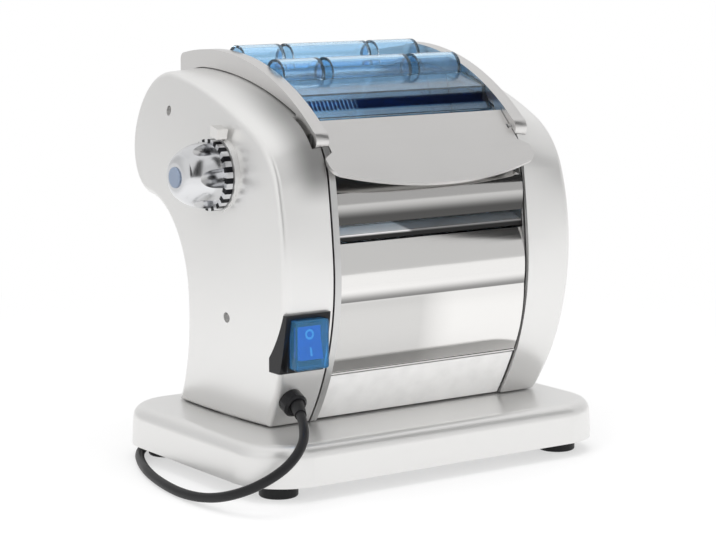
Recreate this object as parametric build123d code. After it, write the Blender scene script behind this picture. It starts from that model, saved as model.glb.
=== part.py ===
from build123d import *
import math
import os

# An electric pasta maker: a gear housing and a plain housing stand on a base
# tray and hold two smooth rollers between side plates.  Millimetres.
# X runs to the right along the rollers, Y to the back, Z up.  The origin is on
# the table under the middle of the base.

# ---- base tray and feet -------------------------------------------------------------------------
BASE_WIDTH = 290.0
BASE_DEPTH = 199.0
BASE_HEIGHT = 27.0
BASE_CORNER = 38.0
BASE_EDGE = 9.0
BASE_WALL = 2.5
BASE_DRAFT = 3.0
FOOT_HEIGHT = 10.0
FOOT_RADIUS = 13.0
FOOT_INSET = 28.0
FOOT_SCREW_RADIUS = 2.0
FOOT_SCREW_LENGTH = 14.5
FOOT_SCREW_HEAD = (4.2, 3.0)
FOOT_CUP_RADIUS = 5.5
FOOT_WEB = 4.0
FOOT_EDGE = 1.5
FOOT_BOSS_RADIUS = 8.0
FOOT_BORE_DEPTH = 12.0
BASE_SCREW_BORE = 10.0
BASE_SCREW_HEAD = (2.8, 1.6)
BASE_SCREW_LENGTH = 7.5
RIB_PLACES = (-60.0, 0.0, 60.0)
RIB_THICKNESS = 2.0
RIB_LIFT = 8.0
RIB_INSET = 3.0
BASE_TOP = FOOT_HEIGHT + BASE_HEIGHT

# ---- side plates, the frame that carries the rollers --------------------------------------------
PLATE_GAP = 156.0
PLATE_THICKNESS = 5.0
PLATE_LEFT_FACE = -65.7
PLATE_LIFT = 0.3
PLATE_FOOT = (-34.0, 71.0)
TAB_LENGTH = 9.0
TAB_WIDTH = 14.0
TAB_THICKNESS = 1.6
TAB_FRONT_Y = -20.0
TAB_BACK_Y = 60.0
TAB_SCREW_RADIUS = 1.5
TAB_SCREW_INSET = 3.5
TIE_RADIUS = 4.0
TIE_SHOULDER = 3.0
TIE_FIT = 0.03
TIE_INSET = 0.2
TIES_LOW = [(48.0, 62.0), (-30.0, 60.0)]
TIES_HEAD = [(104.0, 29.0), (-45.0, -63.0)]

# ---- housings -----------------------------------------------------------------------------------
HOUSING_WALL = 2.5
HOUSING_GAP = 1.5
LEFT_HOUSING_DEPTH = 45.5
RIGHT_HOUSING_DEPTH = 45.0
HOUSING_LIFT = 1.0
CROWN_RADIUS = 620.0
CROWN_CENTRE = (25.0, -53.0)
HOUSING_EDGE = 5.0
COVER_SCREW_HEAD = 3.2
COVER_SCREW_SHANK = 1.5
COVER_SCREW_SINK = 3.6
COVER_POST_RADIUS = 4.2
COVER_SCREWS_HEAD = [(77.5, 37.0), (-6.5, -95.0)]

# outlines of a housing in (Y, Z), arcs that run into each other from the front foot
# over the head to the back foot, and the direction in which the first arc leaves.
# Here and below, places of the head are (Y, height above the rollers' axes), and
# places near the base are (Y, height above the table).
FULL_FRONT = [(-39.0, 37.0), (-62.0, 84.5)]
FULL_HEAD = [(-69.0, -52.0), (-63.0, -1.5), (-31.0, 40.5), (84.5, 65.0), (137.0, 24.5),
             (100.5, -26.0), (47.0, -83.5)]
FULL_BACK = [(79.0, 37.0)]
FULL_START = 124.7
OUTER_FRONT = [(-39.0, 37.0), (-65.0, 96.5)]
OUTER_HEAD = [(-70.0, -55.5), (-61.5, -7.0), (-33.0, 26.0), (80.0, 61.5), (134.5, 21.0),
              (100.5, -22.5), (43.5, -83.0)]
OUTER_BACK = [(76.0, 37.0)]
OUTER_START = 125.6

# ---- rollers and their spacing ------------------------------------------------------------------
ROLLER_RADIUS = 17.5
ROLLER_HEIGHT = 203.0
ROLLER_END_GAP = 1.5
JOURNAL_RADIUS = 6.0
RUNNING_CLEARANCE = 0.05
FRONT_ROLLER_Y = 4.0
WIDEST_NIP = 2.6
NIP_TRAVEL = 2.2
BUSH_WALL = 1.8
BUSH_FLANGE = 0.9
SYNC_TEETH = 18
SYNC_GEAR_X = 97.0
SYNC_GEAR_WIDTH = 10.0
CARRIAGE_FRONT = 27.0
CARRIAGE_BACK = 11.5
CARRIAGE_HALF_HEIGHT = 12.0
CARRIAGE_END_GAP = 0.3
CARRIAGE_BAR_RADIUS = 3.5
FORK_DEPTH = 6.0
FORK_WALL = 3.0
FORK_PLAY = 0.45
SCRAPER_SHEET = 1.0
SCRAPER_GAP = 0.4
FRONT_SCRAPER_ANGLE = -110.0
FRONT_SCRAPER_BEND = (-17.5, -21.2)
FRONT_SCRAPER_ON_BAR = (-5.0, 4.0)
REAR_SCRAPER_ANGLE = -70.0
REAR_SCRAPER_HEM = [(58.0, -25.0), (58.0, -33.0)]

# ---- thickness knob -----------------------------------------------------------------------------
SPINDLE_RADIUS = 4.0
ECCENTRIC_RADIUS = 3.0
KNOB_RADIUS = 22.0
KNOB_LENGTH = 25.0
KNOB_FLUTES = 6
KNOB_FLUTE_RADIUS = 6.5
KNOB_RING_RADIUS = 24.0
KNOB_RING_THICKNESS = 5.0
KNOB_CAP_RADIUS = 7.0
DIAL_PAD_RADIUS = 25.5
DIAL_PAD_X = -117.0
POINTER_WIDTH = 9.0
POINTER_ANGLE = 13.3
SPRING_WIRE = 0.6
SPRING_RADIUS = 5.4
SPRING_TURNS = 5
RETAINER_RADIUS = 6.6

# ---- gear train ---------------------------------------------------------------------------------
GEAR_MODULE = 1.0
ROLLER_GEAR_TEETH = 52
UPPER_PINION_TEETH = 18
UPPER_GEAR_TEETH = 44
LOWER_PINION_TEETH = 18
LOWER_GEAR_TEETH = 48
MOTOR_PINION_TEETH = 16
GEAR_WIDTH = 6.0
GEAR_LAYER = 8.0
AXLE_RADIUS = 3.0
UPPER_GEAR_DIRECTION = -110.0
LOWER_GEAR_DIRECTION = -120.0
MOTOR_DIRECTION = -98.0
GEAR_PLATE_THICKNESS = 2.0
GEAR_PLATE_MARGIN = 5.5
GEAR_POST_RADIUS = 4.0
GEAR_POST_SCREW = 1.5
GEAR_POSTS_HEAD = [(-14.0, -107.0), (22.0, -109.0), (58.0, -27.0), (-16.0, -35.0)]

# ---- motor --------------------------------------------------------------------------------------
MOTOR_RADIUS = 30.0
MOTOR_LENGTH = 104.0
MOTOR_SHAFT_RADIUS = 4.0
MOTOR_SPIGOT = 9.0
MOTOR_SCREW_RADIUS = 1.95
MOTOR_SCREW_ANGLES = (20, 140, 260)
MOTOR_GAP = 0.3
CRADLE_THICKNESS = 3.0
CRADLE_SADDLE = 18.0
CRADLE_REACH = 4.0
CRADLE_NOTCH = (14.0, 20.0)
CRADLE_FOOT = 16.0
CRADLE_FOOT_WIDTH = 12.0
CRADLE_FOOT_THICKNESS = 2.0
CRADLE_FOOT_INSET = 3.0
CRADLE_FOOT_FROM_END = 7.0
CRADLE_SCREW_ALONG = 2.0
CAPACITOR_RADIUS = 14.0
CAPACITOR_LENGTH = 31.0
CAPACITOR_HEAD = (10.0, -113.0)

# ---- sheet-metal covers between the plates ------------------------------------------------------
# Along a cover's outline, places of the front cover between its bend and its lip are
# (Y, share of the height between them), and the others are as in the housings' outlines.
SHEET = 1.2
COVER_END_GAP = 0.3
EXIT_LOW = -38.0
EXIT_HIGH = -31.0
EXIT_Y = -62.8
UPPER_SLOPE = [(-38.5, 15.5), (-50.5, 5.2), (-60.6, -5.6)]
UPPER_ROLL = [(-60.6, -5.6), (-63.0, -9.4), (-64.0, -13.5)]
UPPER_DROP = [(-64.0, -13.5), (-64.6, -22.0), (-63.8, EXIT_HIGH)]
UPPER_HEM = (-57.0, 1.0)
SLIDE_PAST_NIP = 5.0
SLIDE_CLEARANCE = 5.0
SLIDE_BEND = (-52.0, -34.0)
SLIDE_HEM = 4.0
FRONT_LIP_HEAD = [(-56.0, -42.6), (-62.8, -43.6)]
FRONT_BULGE = (-67.2, 0.79)
FRONT_MIDDLE = (-66.8, 0.55)
FRONT_LOWER = (-64.4, 0.27)
FRONT_BEND = (-56.2, 72.6)
FRONT_HEM = (-50.0, 74.8)
LOWER_LIP = [(-48.6, 71.4), (-54.8, 70.2)]
LOWER_MIDDLE = (-47.0, 54.6)
LOWER_FOOT = (-37.5, -28.0)
REAR_COVER_GAP = 1.0
REAR_COVER_TOP = (113.5, 32.0)
REAR_COVER_KEEP = [(30.0, -83.0), (70.0, -3.0)]
REAR_COVER_FOOT = BASE_TOP + 1.5
REAR_COVER_FRONT = 45.0

# ---- hood arms and feed chute -------------------------------------------------------------------
ARM_THICKNESS = 10.0
ARM_CREST_HEAD = 77.9
ARM_CREST_DEPTH = 12.0
ARM_TOP_RADIUS = 192.5
ARM_TOP_PAST_PIVOT = 6.7
ARM_LOW_RADIUS = 176.7
ARM_LOW_PAST_PIVOT = -1.07
ARM_BACK = 117.0
ARM_BACK_CORNER = 5.0
ARM_SPLIT = -31.0
ARM_END_RADIUS = 7.0
ARM_SEAT = 0.3
ARM_RECESS = 2.4
ARM_RECESS_RADIUS = 4.5
ARM_POCKET_WALL = 2.0
ARM_POCKET_EXTRA = 2.5
PIVOT_HEAD = (-48.5, 24.5)
CHUTE_PIN_RADIUS = 2.5
CHUTE_SHEET = 1.6
CHUTE_TOP_HEAD = (-39.0, 36.0)
CHUTE_SLOPE = 44.5
CHUTE_LENGTH_MIDDLE = 59.0
CHUTE_LENGTH_END = 44.0
CHUTE_SIDE_GAP = 0.35
CHUTE_EAR = 7.5
CHUTE_EAR_START = 27.0
CHUTE_CORNER = 10.0
CHUTE_HEM = 2.4
CHUTE_HEM_THICKNESS = 2.6

# ---- safety guard -------------------------------------------------------------------------------
GUARD_WALL = 2.0
GUARD_END_GAP = 0.4
RIDGE_RADIUS = 11.0
RIDGE_SPANS = [(-63.0, -29.0), (-23.0, 44.0), (50.0, 87.0)]
FRONT_RIDGE_HEAD = (14.0, 63.0)
BACK_RIDGE_HEAD = (63.0, 70.0)
RIDGE_DROP = 3.0
RIDGE_INNER_LIFT = 0.6
GUARD_LIP = [(-29.0, 37.0), (-26.0, 40.0), (-21.5, 47.7), (-21.5, 52.0)]
GUARD_MOUTH_BACK = 33.0
GUARD_MOUTH_LOW = 23.0
GUARD_TAIL = [(100.0, 64.0), (112.0, 59.0)]
GUARD_SIDE_LOW = (60.0, 47.0)

# ---- switch -------------------------------------------------------------------------------------
SWITCH_X = -92.8
SWITCH_Z = 97.5
BEZEL_WIDTH = 34.4
BEZEL_HEIGHT = 40.0
BEZEL_THICKNESS = 2.6
BEZEL_CUT = (-80.0, -50.0)
PEDESTAL_WIDTH = 29.0
PEDESTAL_HEIGHT = 36.0
PEDESTAL_FACE = -68.5
PEDESTAL_BACK = -52.0
SPLASH_WIDTH = 26.0
SPLASH_HEIGHT = 33.0
SPLASH_FACE = -77.0
SPLASH_WALL = 1.5
SPLASH_EDGE = 2.2
SWITCH_BODY_WIDTH = 22.0
SWITCH_BODY_HEIGHT = 30.0
SWITCH_BODY_BACK = -42.0
SPADE_WIDTH = 6.2
SPADE_LENGTH = 8.0
SPADE_THICKNESS = 0.8
SWITCH_CLEARANCE = 0.3
ROCKER_WIDTH = 17.5
ROCKER_HEIGHT = 22.0
ROCKER_FACE = -73.3
ROCKER_PIVOT_Y = -66.0
ROCKER_PIN_RADIUS = 1.5
ROCKER_TILT = 9.0

# ---- cord ---------------------------------------------------------------------------------------
CORD_DIAMETER = 6.4
GLAND_CENTRE = (-94.5, -50.9, 57.5)
GLAND_NORMAL = (0.0, -0.907, -0.421)
GLAND_THREAD_RADIUS = 6.0
GLAND_NUT_RADIUS = 8.5
GLAND_NUT_LENGTH = 9.0
RELIEF_LENGTH = 20.4
RELIEF_RADIUS = 5.2
RELIEF_TIP = 3.9
COIL_CENTRE = (-2.0, 150.0)
COIL_MIDDLE_RADIUS = 32.8
COIL_TURNS = 5
COIL_TURNS_WIDE = 3
COIL_TURNS_HIGH = 2
COIL_LIFT = 0.1
CORD_ROUTE = [(-102.1, -75.4, 52.0), (-110.6, -93.0, 48.4), (-122.4, -109.0, 41.0),
              (-139.4, -117.5, 31.0), (-156.6, -112.6, 20.8), (-167.2, -95.5, 12.0),
              (-171.8, -72.5, 6.0), (-173.2, -45.0, 3.4), (-170.4, -15.0, 3.3),
              (-162.8, 18.0, 3.3), (-151.2, 49.0, 3.3), (-137.5, 75.5, 3.3),
              (-117.0, 96.5, 3.3), (-88.0, 108.0, 3.3), (-56.0, 111.8, 3.3),
              (-24.6, 111.0, 3.3)]
TAIL_ROUTE = [(20.6, 111.0, 9.3), (33.5, 112.6, 6.4), (47.2, 118.0, 6.4), (58.6, 126.6, 9.1)]
PLUG_HALF_HEIGHT = 9.0
PLUG_LENGTH = 40.0
PLUG_WIDTH = 34.0
PLUG_CORNER = 5.0
PLUG_PIN_RADIUS = 2.4
PLUG_PIN_LENGTH = 19.0
PLUG_PIN_SPACING = 19.0


# ---- fits that repeat, and lengths for cutting --------------------------------------------------
PRESS = 0.02
SLACK = 0.05
SEAT_GAP = 0.3
PAST = 1.0
FAR = 400.0
EMBED = 0.5

# ---- derived places -----------------------------------------------------------------------------
PLATE_RIGHT_FACE = PLATE_LEFT_FACE + PLATE_GAP
LEFT_PLATE_OUT = PLATE_LEFT_FACE - PLATE_THICKNESS
RIGHT_PLATE_OUT = PLATE_RIGHT_FACE + PLATE_THICKNESS
LEFT_HOUSING_IN = LEFT_PLATE_OUT - HOUSING_GAP
LEFT_HOUSING_OUT = LEFT_HOUSING_IN - LEFT_HOUSING_DEPTH
RIGHT_HOUSING_IN = PLATE_RIGHT_FACE + HOUSING_GAP
RIGHT_HOUSING_OUT = RIGHT_HOUSING_IN + RIGHT_HOUSING_DEPTH
ROLLER_PITCH = 2 * ROLLER_RADIUS + WIDEST_NIP
REAR_ROLLER_Y = FRONT_ROLLER_Y + ROLLER_PITCH
BUSH_RADIUS = JOURNAL_RADIUS + RUNNING_CLEARANCE + BUSH_WALL
SYNC_MODULE = (ROLLER_PITCH - NIP_TRAVEL / 2) / SYNC_TEETH
HOUSING_FLOOR = BASE_TOP + HOUSING_LIFT


def raised(places):
    """Places of the head as (Y, Z), from their heights above the rollers' axes."""
    return [(y, ROLLER_HEIGHT + above) for y, above in places]


TIE_PLACES = [TIES_LOW[0], raised(TIES_HEAD)[0], TIES_LOW[1], raised(TIES_HEAD)[1]]
CROWN = raised([CROWN_CENTRE])[0]
HOUSING_SCREWS = raised(COVER_SCREWS_HEAD)
FULL_OUTLINE = FULL_FRONT + raised(FULL_HEAD) + FULL_BACK
OUTER_OUTLINE = OUTER_FRONT + raised(OUTER_HEAD) + OUTER_BACK
GEAR_POSTS = raised(GEAR_POSTS_HEAD)
CAPACITOR_PLACE = raised([CAPACITOR_HEAD])[0]
CHUTE_PIVOT = raised([PIVOT_HEAD])[0]
CHUTE_TOP = raised([CHUTE_TOP_HEAD])[0]
FRONT_RIDGE = raised([FRONT_RIDGE_HEAD])[0]
BACK_RIDGE = raised([BACK_RIDGE_HEAD])[0]


def arm_arc_centre(radius, crest, past_pivot):
    """Centre of an arc that crests at a height and passes the chute's pivot at a distance."""
    z = crest - radius
    reach = math.sqrt((radius - past_pivot) ** 2 - (CHUTE_PIVOT[1] - z) ** 2)
    return (CHUTE_PIVOT[0] + reach, z)


ARM_CREST = ROLLER_HEIGHT + ARM_CREST_HEAD
ARM_TOP_CENTRE = arm_arc_centre(ARM_TOP_RADIUS, ARM_CREST, ARM_TOP_PAST_PIVOT)
ARM_LOW_CENTRE = arm_arc_centre(ARM_LOW_RADIUS, ARM_CREST - ARM_CREST_DEPTH, ARM_LOW_PAST_PIVOT)
KNOB_AXIS = (FRONT_ROLLER_Y, ROLLER_HEIGHT)
NIP_Y = FRONT_ROLLER_Y + ROLLER_PITCH / 2
ECCENTRICITY = NIP_TRAVEL / 2
SPINDLE_BUSH_RADIUS = SPINDLE_RADIUS + BUSH_WALL
CARRIAGE_BAR = (FRONT_ROLLER_Y - CARRIAGE_FRONT + 5.0, ROLLER_HEIGHT)
FLOOR = BASE_TOP + PLATE_LIFT
PLATE_SETBACK = HOUSING_WALL + 1.3
CHUTE_CENTRE_X = PLATE_LEFT_FACE + PLATE_GAP / 2
KNOB_BACK = DIAL_PAD_X - 0.6
KNOB_SKIRT = KNOB_BACK - KNOB_RING_THICKNESS
KNOB_TIP = KNOB_SKIRT - KNOB_LENGTH
SPRING_SEAT = KNOB_SKIRT - 3.5
RETAINER_X = SPRING_SEAT - 15.0


def polar(start, direction, distance):
    angle = math.radians(direction)
    return (start[0] + distance * math.cos(angle), start[1] + distance * math.sin(angle))


def gear_distance(teeth_a, teeth_b):
    return GEAR_MODULE * (teeth_a + teeth_b) / 2


ROLLER_GEAR_AXIS = (REAR_ROLLER_Y, ROLLER_HEIGHT)
UPPER_AXIS = polar(ROLLER_GEAR_AXIS, UPPER_GEAR_DIRECTION,
                   gear_distance(ROLLER_GEAR_TEETH, UPPER_PINION_TEETH))
LOWER_AXIS = polar(UPPER_AXIS, LOWER_GEAR_DIRECTION,
                   gear_distance(UPPER_GEAR_TEETH, LOWER_PINION_TEETH))
MOTOR_AXIS = polar(LOWER_AXIS, MOTOR_DIRECTION,
                   gear_distance(LOWER_GEAR_TEETH, MOTOR_PINION_TEETH))
LAYER_1 = LEFT_PLATE_OUT - 2.5
LAYER_2 = LAYER_1 - GEAR_LAYER
LAYER_3 = LAYER_2 - GEAR_LAYER
GEAR_PLATE_X = LAYER_3 - GEAR_LAYER - 1.0


# ---- small helpers ------------------------------------------------------------------------------
def write(node, *solids):
    """Write one node's solids to its own STEP file."""
    if len(solids) == 1:
        shape = solids[0]
    else:
        shape = Compound(children=list(solids))
    shape.label = node
    export_step(shape, f"parts/{node}.step")


def arc_chain(points, start_direction):
    """A closed face whose rim is arcs that run into each other, and a straight foot."""
    angle = math.radians(start_direction)
    tangent = Vector(math.cos(angle), math.sin(angle))
    edges = []
    for here, there in zip(points, points[1:]):
        arc = TangentArc(here, there, tangent=tangent)
        tangent = arc % 1
        edges.append(arc)
    edges.append(Line(points[-1], points[0]))
    return make_face(Curve() + edges)


def along_x(face, x0, x1):
    """Extrude a face drawn in (Y, Z) between two places along X, given in any order."""
    return extrude(Plane.YZ.offset(min(x0, x1)) * face, abs(x1 - x0))


def rod(x0, x1, centre, radius):
    return along_x(Pos(*centre) * Circle(radius), x0, x1)


def tube(x0, x1, centre, outer, inner):
    return along_x(Pos(*centre) * (Circle(outer) - Circle(inner)), x0, x1)


def block(x0, x1, y0, y1, z0, z1):
    return Pos((x0 + x1) / 2, (y0 + y1) / 2, (z0 + z1) / 2) * Box(x1 - x0, y1 - y0, z1 - z0)


def sheet(path, thickness, x0, x1):
    """Bent sheet: an open path in (Y, Z), thickened to its left side."""
    outline = offset(Wire(path.edges()), thickness, kind=Kind.INTERSECTION, side=Side.LEFT)
    return along_x(make_face(outline), x0, x1)


def folded(points, thickness, x0, x1):
    """Sheet folded along straight runs in (Y, Z), thickened to the left with mitred corners."""
    places = [Vector(*point) for point in points]
    normals = []
    for here, there in zip(places, places[1:]):
        run = (there - here).normalized()
        normals.append(Vector(-run.Y, run.X))
    inner = [places[0] + normals[0] * thickness]
    for here, before, after in zip(places[1:], normals, normals[1:]):
        inner.append(here + (before + after) * (thickness / (1 + before.dot(after))))
    inner.append(places[-1] + normals[-1] * thickness)
    return along_x(make_face(Polyline(*places, *reversed(inner), close=True)), x0, x1)


FULL_FACE = arc_chain(FULL_OUTLINE, FULL_START)
OUTER_FACE = arc_chain(OUTER_OUTLINE, OUTER_START)


# ---- base ---------------------------------------------------------------------------------------
def tray_outline(shrink):
    return RectangleRounded(BASE_WIDTH - 2 * shrink, BASE_DEPTH - 2 * shrink, BASE_CORNER - shrink)


def make_base_tray():
    """Drafted tray, open below, with a soft top edge, foot bosses and cross ribs."""
    lean = BASE_HEIGHT * math.tan(math.radians(BASE_DRAFT))
    low = Pos(0, 0, FOOT_HEIGHT) * tray_outline(0)
    high = Pos(0, 0, BASE_TOP) * tray_outline(lean)
    outside = loft([low, high])
    outside = fillet(outside.faces().sort_by(Axis.Z)[-1].edges(), BASE_EDGE)
    low_in = Pos(0, 0, FOOT_HEIGHT - PAST) * tray_outline(BASE_WALL)
    high_in = Pos(0, 0, BASE_TOP - BASE_WALL) * tray_outline(lean + BASE_WALL)
    inside = loft([low_in, high_in])
    inside = fillet(inside.faces().sort_by(Axis.Z)[-1].edges(), BASE_EDGE - BASE_WALL)
    tray = outside - inside
    rib_top = BASE_TOP - BASE_WALL + EMBED
    rib_end = BASE_DEPTH / 2 - RIB_INSET
    for x in RIB_PLACES:
        tray += block(x - RIB_THICKNESS / 2, x + RIB_THICKNESS / 2, -rib_end, rib_end,
                      FOOT_HEIGHT + RIB_LIFT, rib_top)
    for x, y in foot_places():
        middle = Pos(x, y, (FOOT_HEIGHT + rib_top) / 2)
        tray += middle * Cylinder(FOOT_BOSS_RADIUS, rib_top - FOOT_HEIGHT)
    for x, y in foot_places():
        tray -= Pos(x, y, FOOT_HEIGHT) * Cylinder(FOOT_SCREW_RADIUS + PRESS, 2 * FOOT_BORE_DEPTH)
    for x, y in tab_places() + cradle_screw_places():
        tray -= Pos(x, y, BASE_TOP) * Cylinder(TAB_SCREW_RADIUS + SLACK, 2 * BASE_SCREW_BORE)
    return tray


def foot_places():
    half_x = BASE_WIDTH / 2 - FOOT_INSET
    half_y = BASE_DEPTH / 2 - FOOT_INSET
    return [(x, y) for x in (-half_x, half_x) for y in (-half_y, half_y)]


def upright(radius, height):
    """Cylinder that stands on its own XY plane."""
    return Cylinder(radius, height, align=(Align.CENTER, Align.CENTER, Align.MIN))


def make_foot(x, y):
    """Rubber foot, a shallow cup around its screw head."""
    body = upright(FOOT_RADIUS, FOOT_HEIGHT)
    body = fillet(body.edges().sort_by(Axis.Z)[0], FOOT_EDGE)
    body -= Cylinder(FOOT_CUP_RADIUS, 2 * (FOOT_HEIGHT - FOOT_WEB))
    body -= Cylinder(FOOT_SCREW_RADIUS + SLACK, 4 * FOOT_HEIGHT)
    return Pos(x, y, 0) * body


def make_foot_screw(x, y):
    """Screw up through a foot's web into the tray's boss."""
    radius, height = FOOT_SCREW_HEAD
    seat = FOOT_HEIGHT - FOOT_WEB
    head = Pos(0, 0, seat - height + PRESS) * upright(radius, height - 2 * PRESS)
    shank = Pos(0, 0, seat - EMBED) * upright(FOOT_SCREW_RADIUS, FOOT_SCREW_LENGTH)
    return Pos(x, y, 0) * (head + shank)


# ---- housings -----------------------------------------------------------------------------------
def housing_block(x_in, x_out, shrink, crown):
    """Tapered comma-shaped block whose outer face is part of a large sphere."""
    side = math.copysign(1, x_out - x_in)
    full = offset(FULL_FACE, -shrink) if shrink else FULL_FACE
    outer = offset(OUTER_FACE, -shrink) if shrink else OUTER_FACE
    body = loft([Plane.YZ.offset(x_in) * full, Plane.YZ.offset(x_out) * outer])
    return body & crown_ball(x_out, side, crown)


def crown_ball(x_out, side, crown):
    """The large sphere that touches the outer plane at the crown's centre."""
    return Pos(x_out - side * crown, *CROWN) * Sphere(crown)


def crown_depth(place):
    """How far the crowned face lies inside its outer plane at a place in (Y, Z)."""
    distance = math.hypot(place[0] - CROWN[0], place[1] - CROWN[1])
    return CROWN_RADIUS - math.sqrt(CROWN_RADIUS ** 2 - distance ** 2)


def crowned_face(body, x_out):
    """The spherical outer face, the large one nearest to the outer plane."""
    return max(body.faces(), key=lambda face: face.area - 1000 * abs(face.center().X - x_out))


def make_housing(x_in, x_out, pocket_depth):
    """Shell of a housing, open towards the side plates, with a pocket for the hood arm's end."""
    side = math.copysign(1, x_out - x_in)
    body = housing_block(x_in, x_out, 0, CROWN_RADIUS)
    body = fillet(crowned_face(body, x_out).edges(), HOUSING_EDGE)
    hollow = housing_block(x_in, x_out - side * HOUSING_WALL, HOUSING_WALL,
                           CROWN_RADIUS - HOUSING_WALL)
    reach = x_in + side * pocket_depth
    lining = arm_front_face(ARM_SEAT + ARM_POCKET_WALL)
    hollow -= along_x(lining, x_in, reach + side * ARM_POCKET_WALL)
    foot = block(min(x_in, x_out), max(x_in, x_out), *PLATE_FOOT, BASE_TOP, HOUSING_FLOOR + 6)
    hollow += foot & crown_ball(x_out - side * HOUSING_WALL, side, CROWN_RADIUS - HOUSING_WALL)
    pocket = along_x(arm_front_face(ARM_SEAT), x_in - side, reach)
    keep = block(-FAR, FAR, -FAR, FAR, HOUSING_FLOOR, FAR)
    return (body - hollow - pocket) & keep


def gland_frame():
    """Plane on the housing wall at the gland, its normal pointing out of the wall."""
    return Plane(origin=GLAND_CENTRE, x_dir=(1, 0, 0), z_dir=GLAND_NORMAL)


def gland_cylinder(radius, low, high):
    return gland_frame() * Pos(0, 0, (low + high) / 2) * Cylinder(radius, high - low)


def left_outside(grow):
    """The space that the left housing fills, grown a little, to trim what seats on it."""
    return housing_block(LEFT_HOUSING_IN, LEFT_HOUSING_OUT - grow, -grow, CROWN_RADIUS + grow)


def make_left_housing():
    """Gear housing shell with the dial pad, the switch window and the gland hole."""
    pocket_depth = ARM_THICKNESS - PLATE_THICKNESS - HOUSING_GAP + ARM_POCKET_EXTRA
    shell = make_housing(LEFT_HOUSING_IN, LEFT_HOUSING_OUT, pocket_depth)
    pad = rod(DIAL_PAD_X, DIAL_PAD_X + 5, KNOB_AXIS, DIAL_PAD_RADIUS)
    pad -= housing_block(LEFT_HOUSING_IN, LEFT_HOUSING_OUT + HOUSING_WALL, HOUSING_WALL,
                         CROWN_RADIUS - HOUSING_WALL)
    shell += pad
    shell -= rod(DIAL_PAD_X - 5, DIAL_PAD_X + 20, KNOB_AXIS, SPINDLE_BUSH_RADIUS)
    window = Box(SWITCH_BODY_WIDTH + 2 * SWITCH_CLEARANCE, 40,
                 SWITCH_BODY_HEIGHT + 2 * SWITCH_CLEARANCE)
    shell -= Pos(SWITCH_X, PEDESTAL_FACE, SWITCH_Z) * window
    shell -= gland_cylinder(GLAND_THREAD_RADIUS + 0.05, -12, 12)
    return cut_screw_recesses(shell, LEFT_HOUSING_OUT, 1)


def make_right_housing():
    """Plain housing shell that wraps over the right side plate."""
    pocket_depth = ARM_THICKNESS - HOUSING_GAP + ARM_SEAT
    shell = make_housing(RIGHT_HOUSING_IN, RIGHT_HOUSING_OUT, pocket_depth)
    return cut_screw_recesses(shell, RIGHT_HOUSING_OUT, -1)


def cut_screw_recesses(shell, x_out, side):
    """Counterbored wells for the cover screws, each backed by a cup inside the shell."""
    for place in HOUSING_SCREWS:
        seat = screw_seat(x_out, side, place)
        floor = seat + side * HOUSING_WALL
        cup = rod(seat - side * (COVER_SCREW_SINK + 1.2), floor, place, COVER_SCREW_HEAD + HOUSING_WALL)
        well = rod(x_out - side, seat, place, COVER_SCREW_HEAD + 0.3)
        shank = rod(x_out, floor + side, place, COVER_SCREW_SHANK + 0.1)
        shell = shell + cup - well - shank
    return shell


def screw_seat(x_out, side, place):
    """Plane in X on which a cover screw's head sits, inside its well."""
    return x_out + side * (crown_depth(place) + HOUSING_WALL + COVER_SCREW_SINK)


def cover_screw(x_out, side, place):
    """Slotted screw along X from its well into the post on the side plate."""
    seat = screw_seat(x_out, side, place)
    top = seat - side * 2.0
    head = rod(seat, top, place, COVER_SCREW_HEAD)
    shank = rod(seat, seat + side * 12, place, COVER_SCREW_SHANK)
    slot = Pos(top, *place) * Box(1.4, 0.9, 2 * COVER_SCREW_HEAD + 1)
    return head + shank - slot


def cover_posts(x_plate, x_out, side):
    """Tapped posts welded to a side plate, which the cover screws are driven into."""
    posts = Part()
    for place in HOUSING_SCREWS:
        top = screw_seat(x_out, side, place) + side * (HOUSING_WALL + 0.3)
        posts += tube(top, x_plate, place, COVER_POST_RADIUS, COVER_SCREW_SHANK + 0.05)
    return posts


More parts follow.
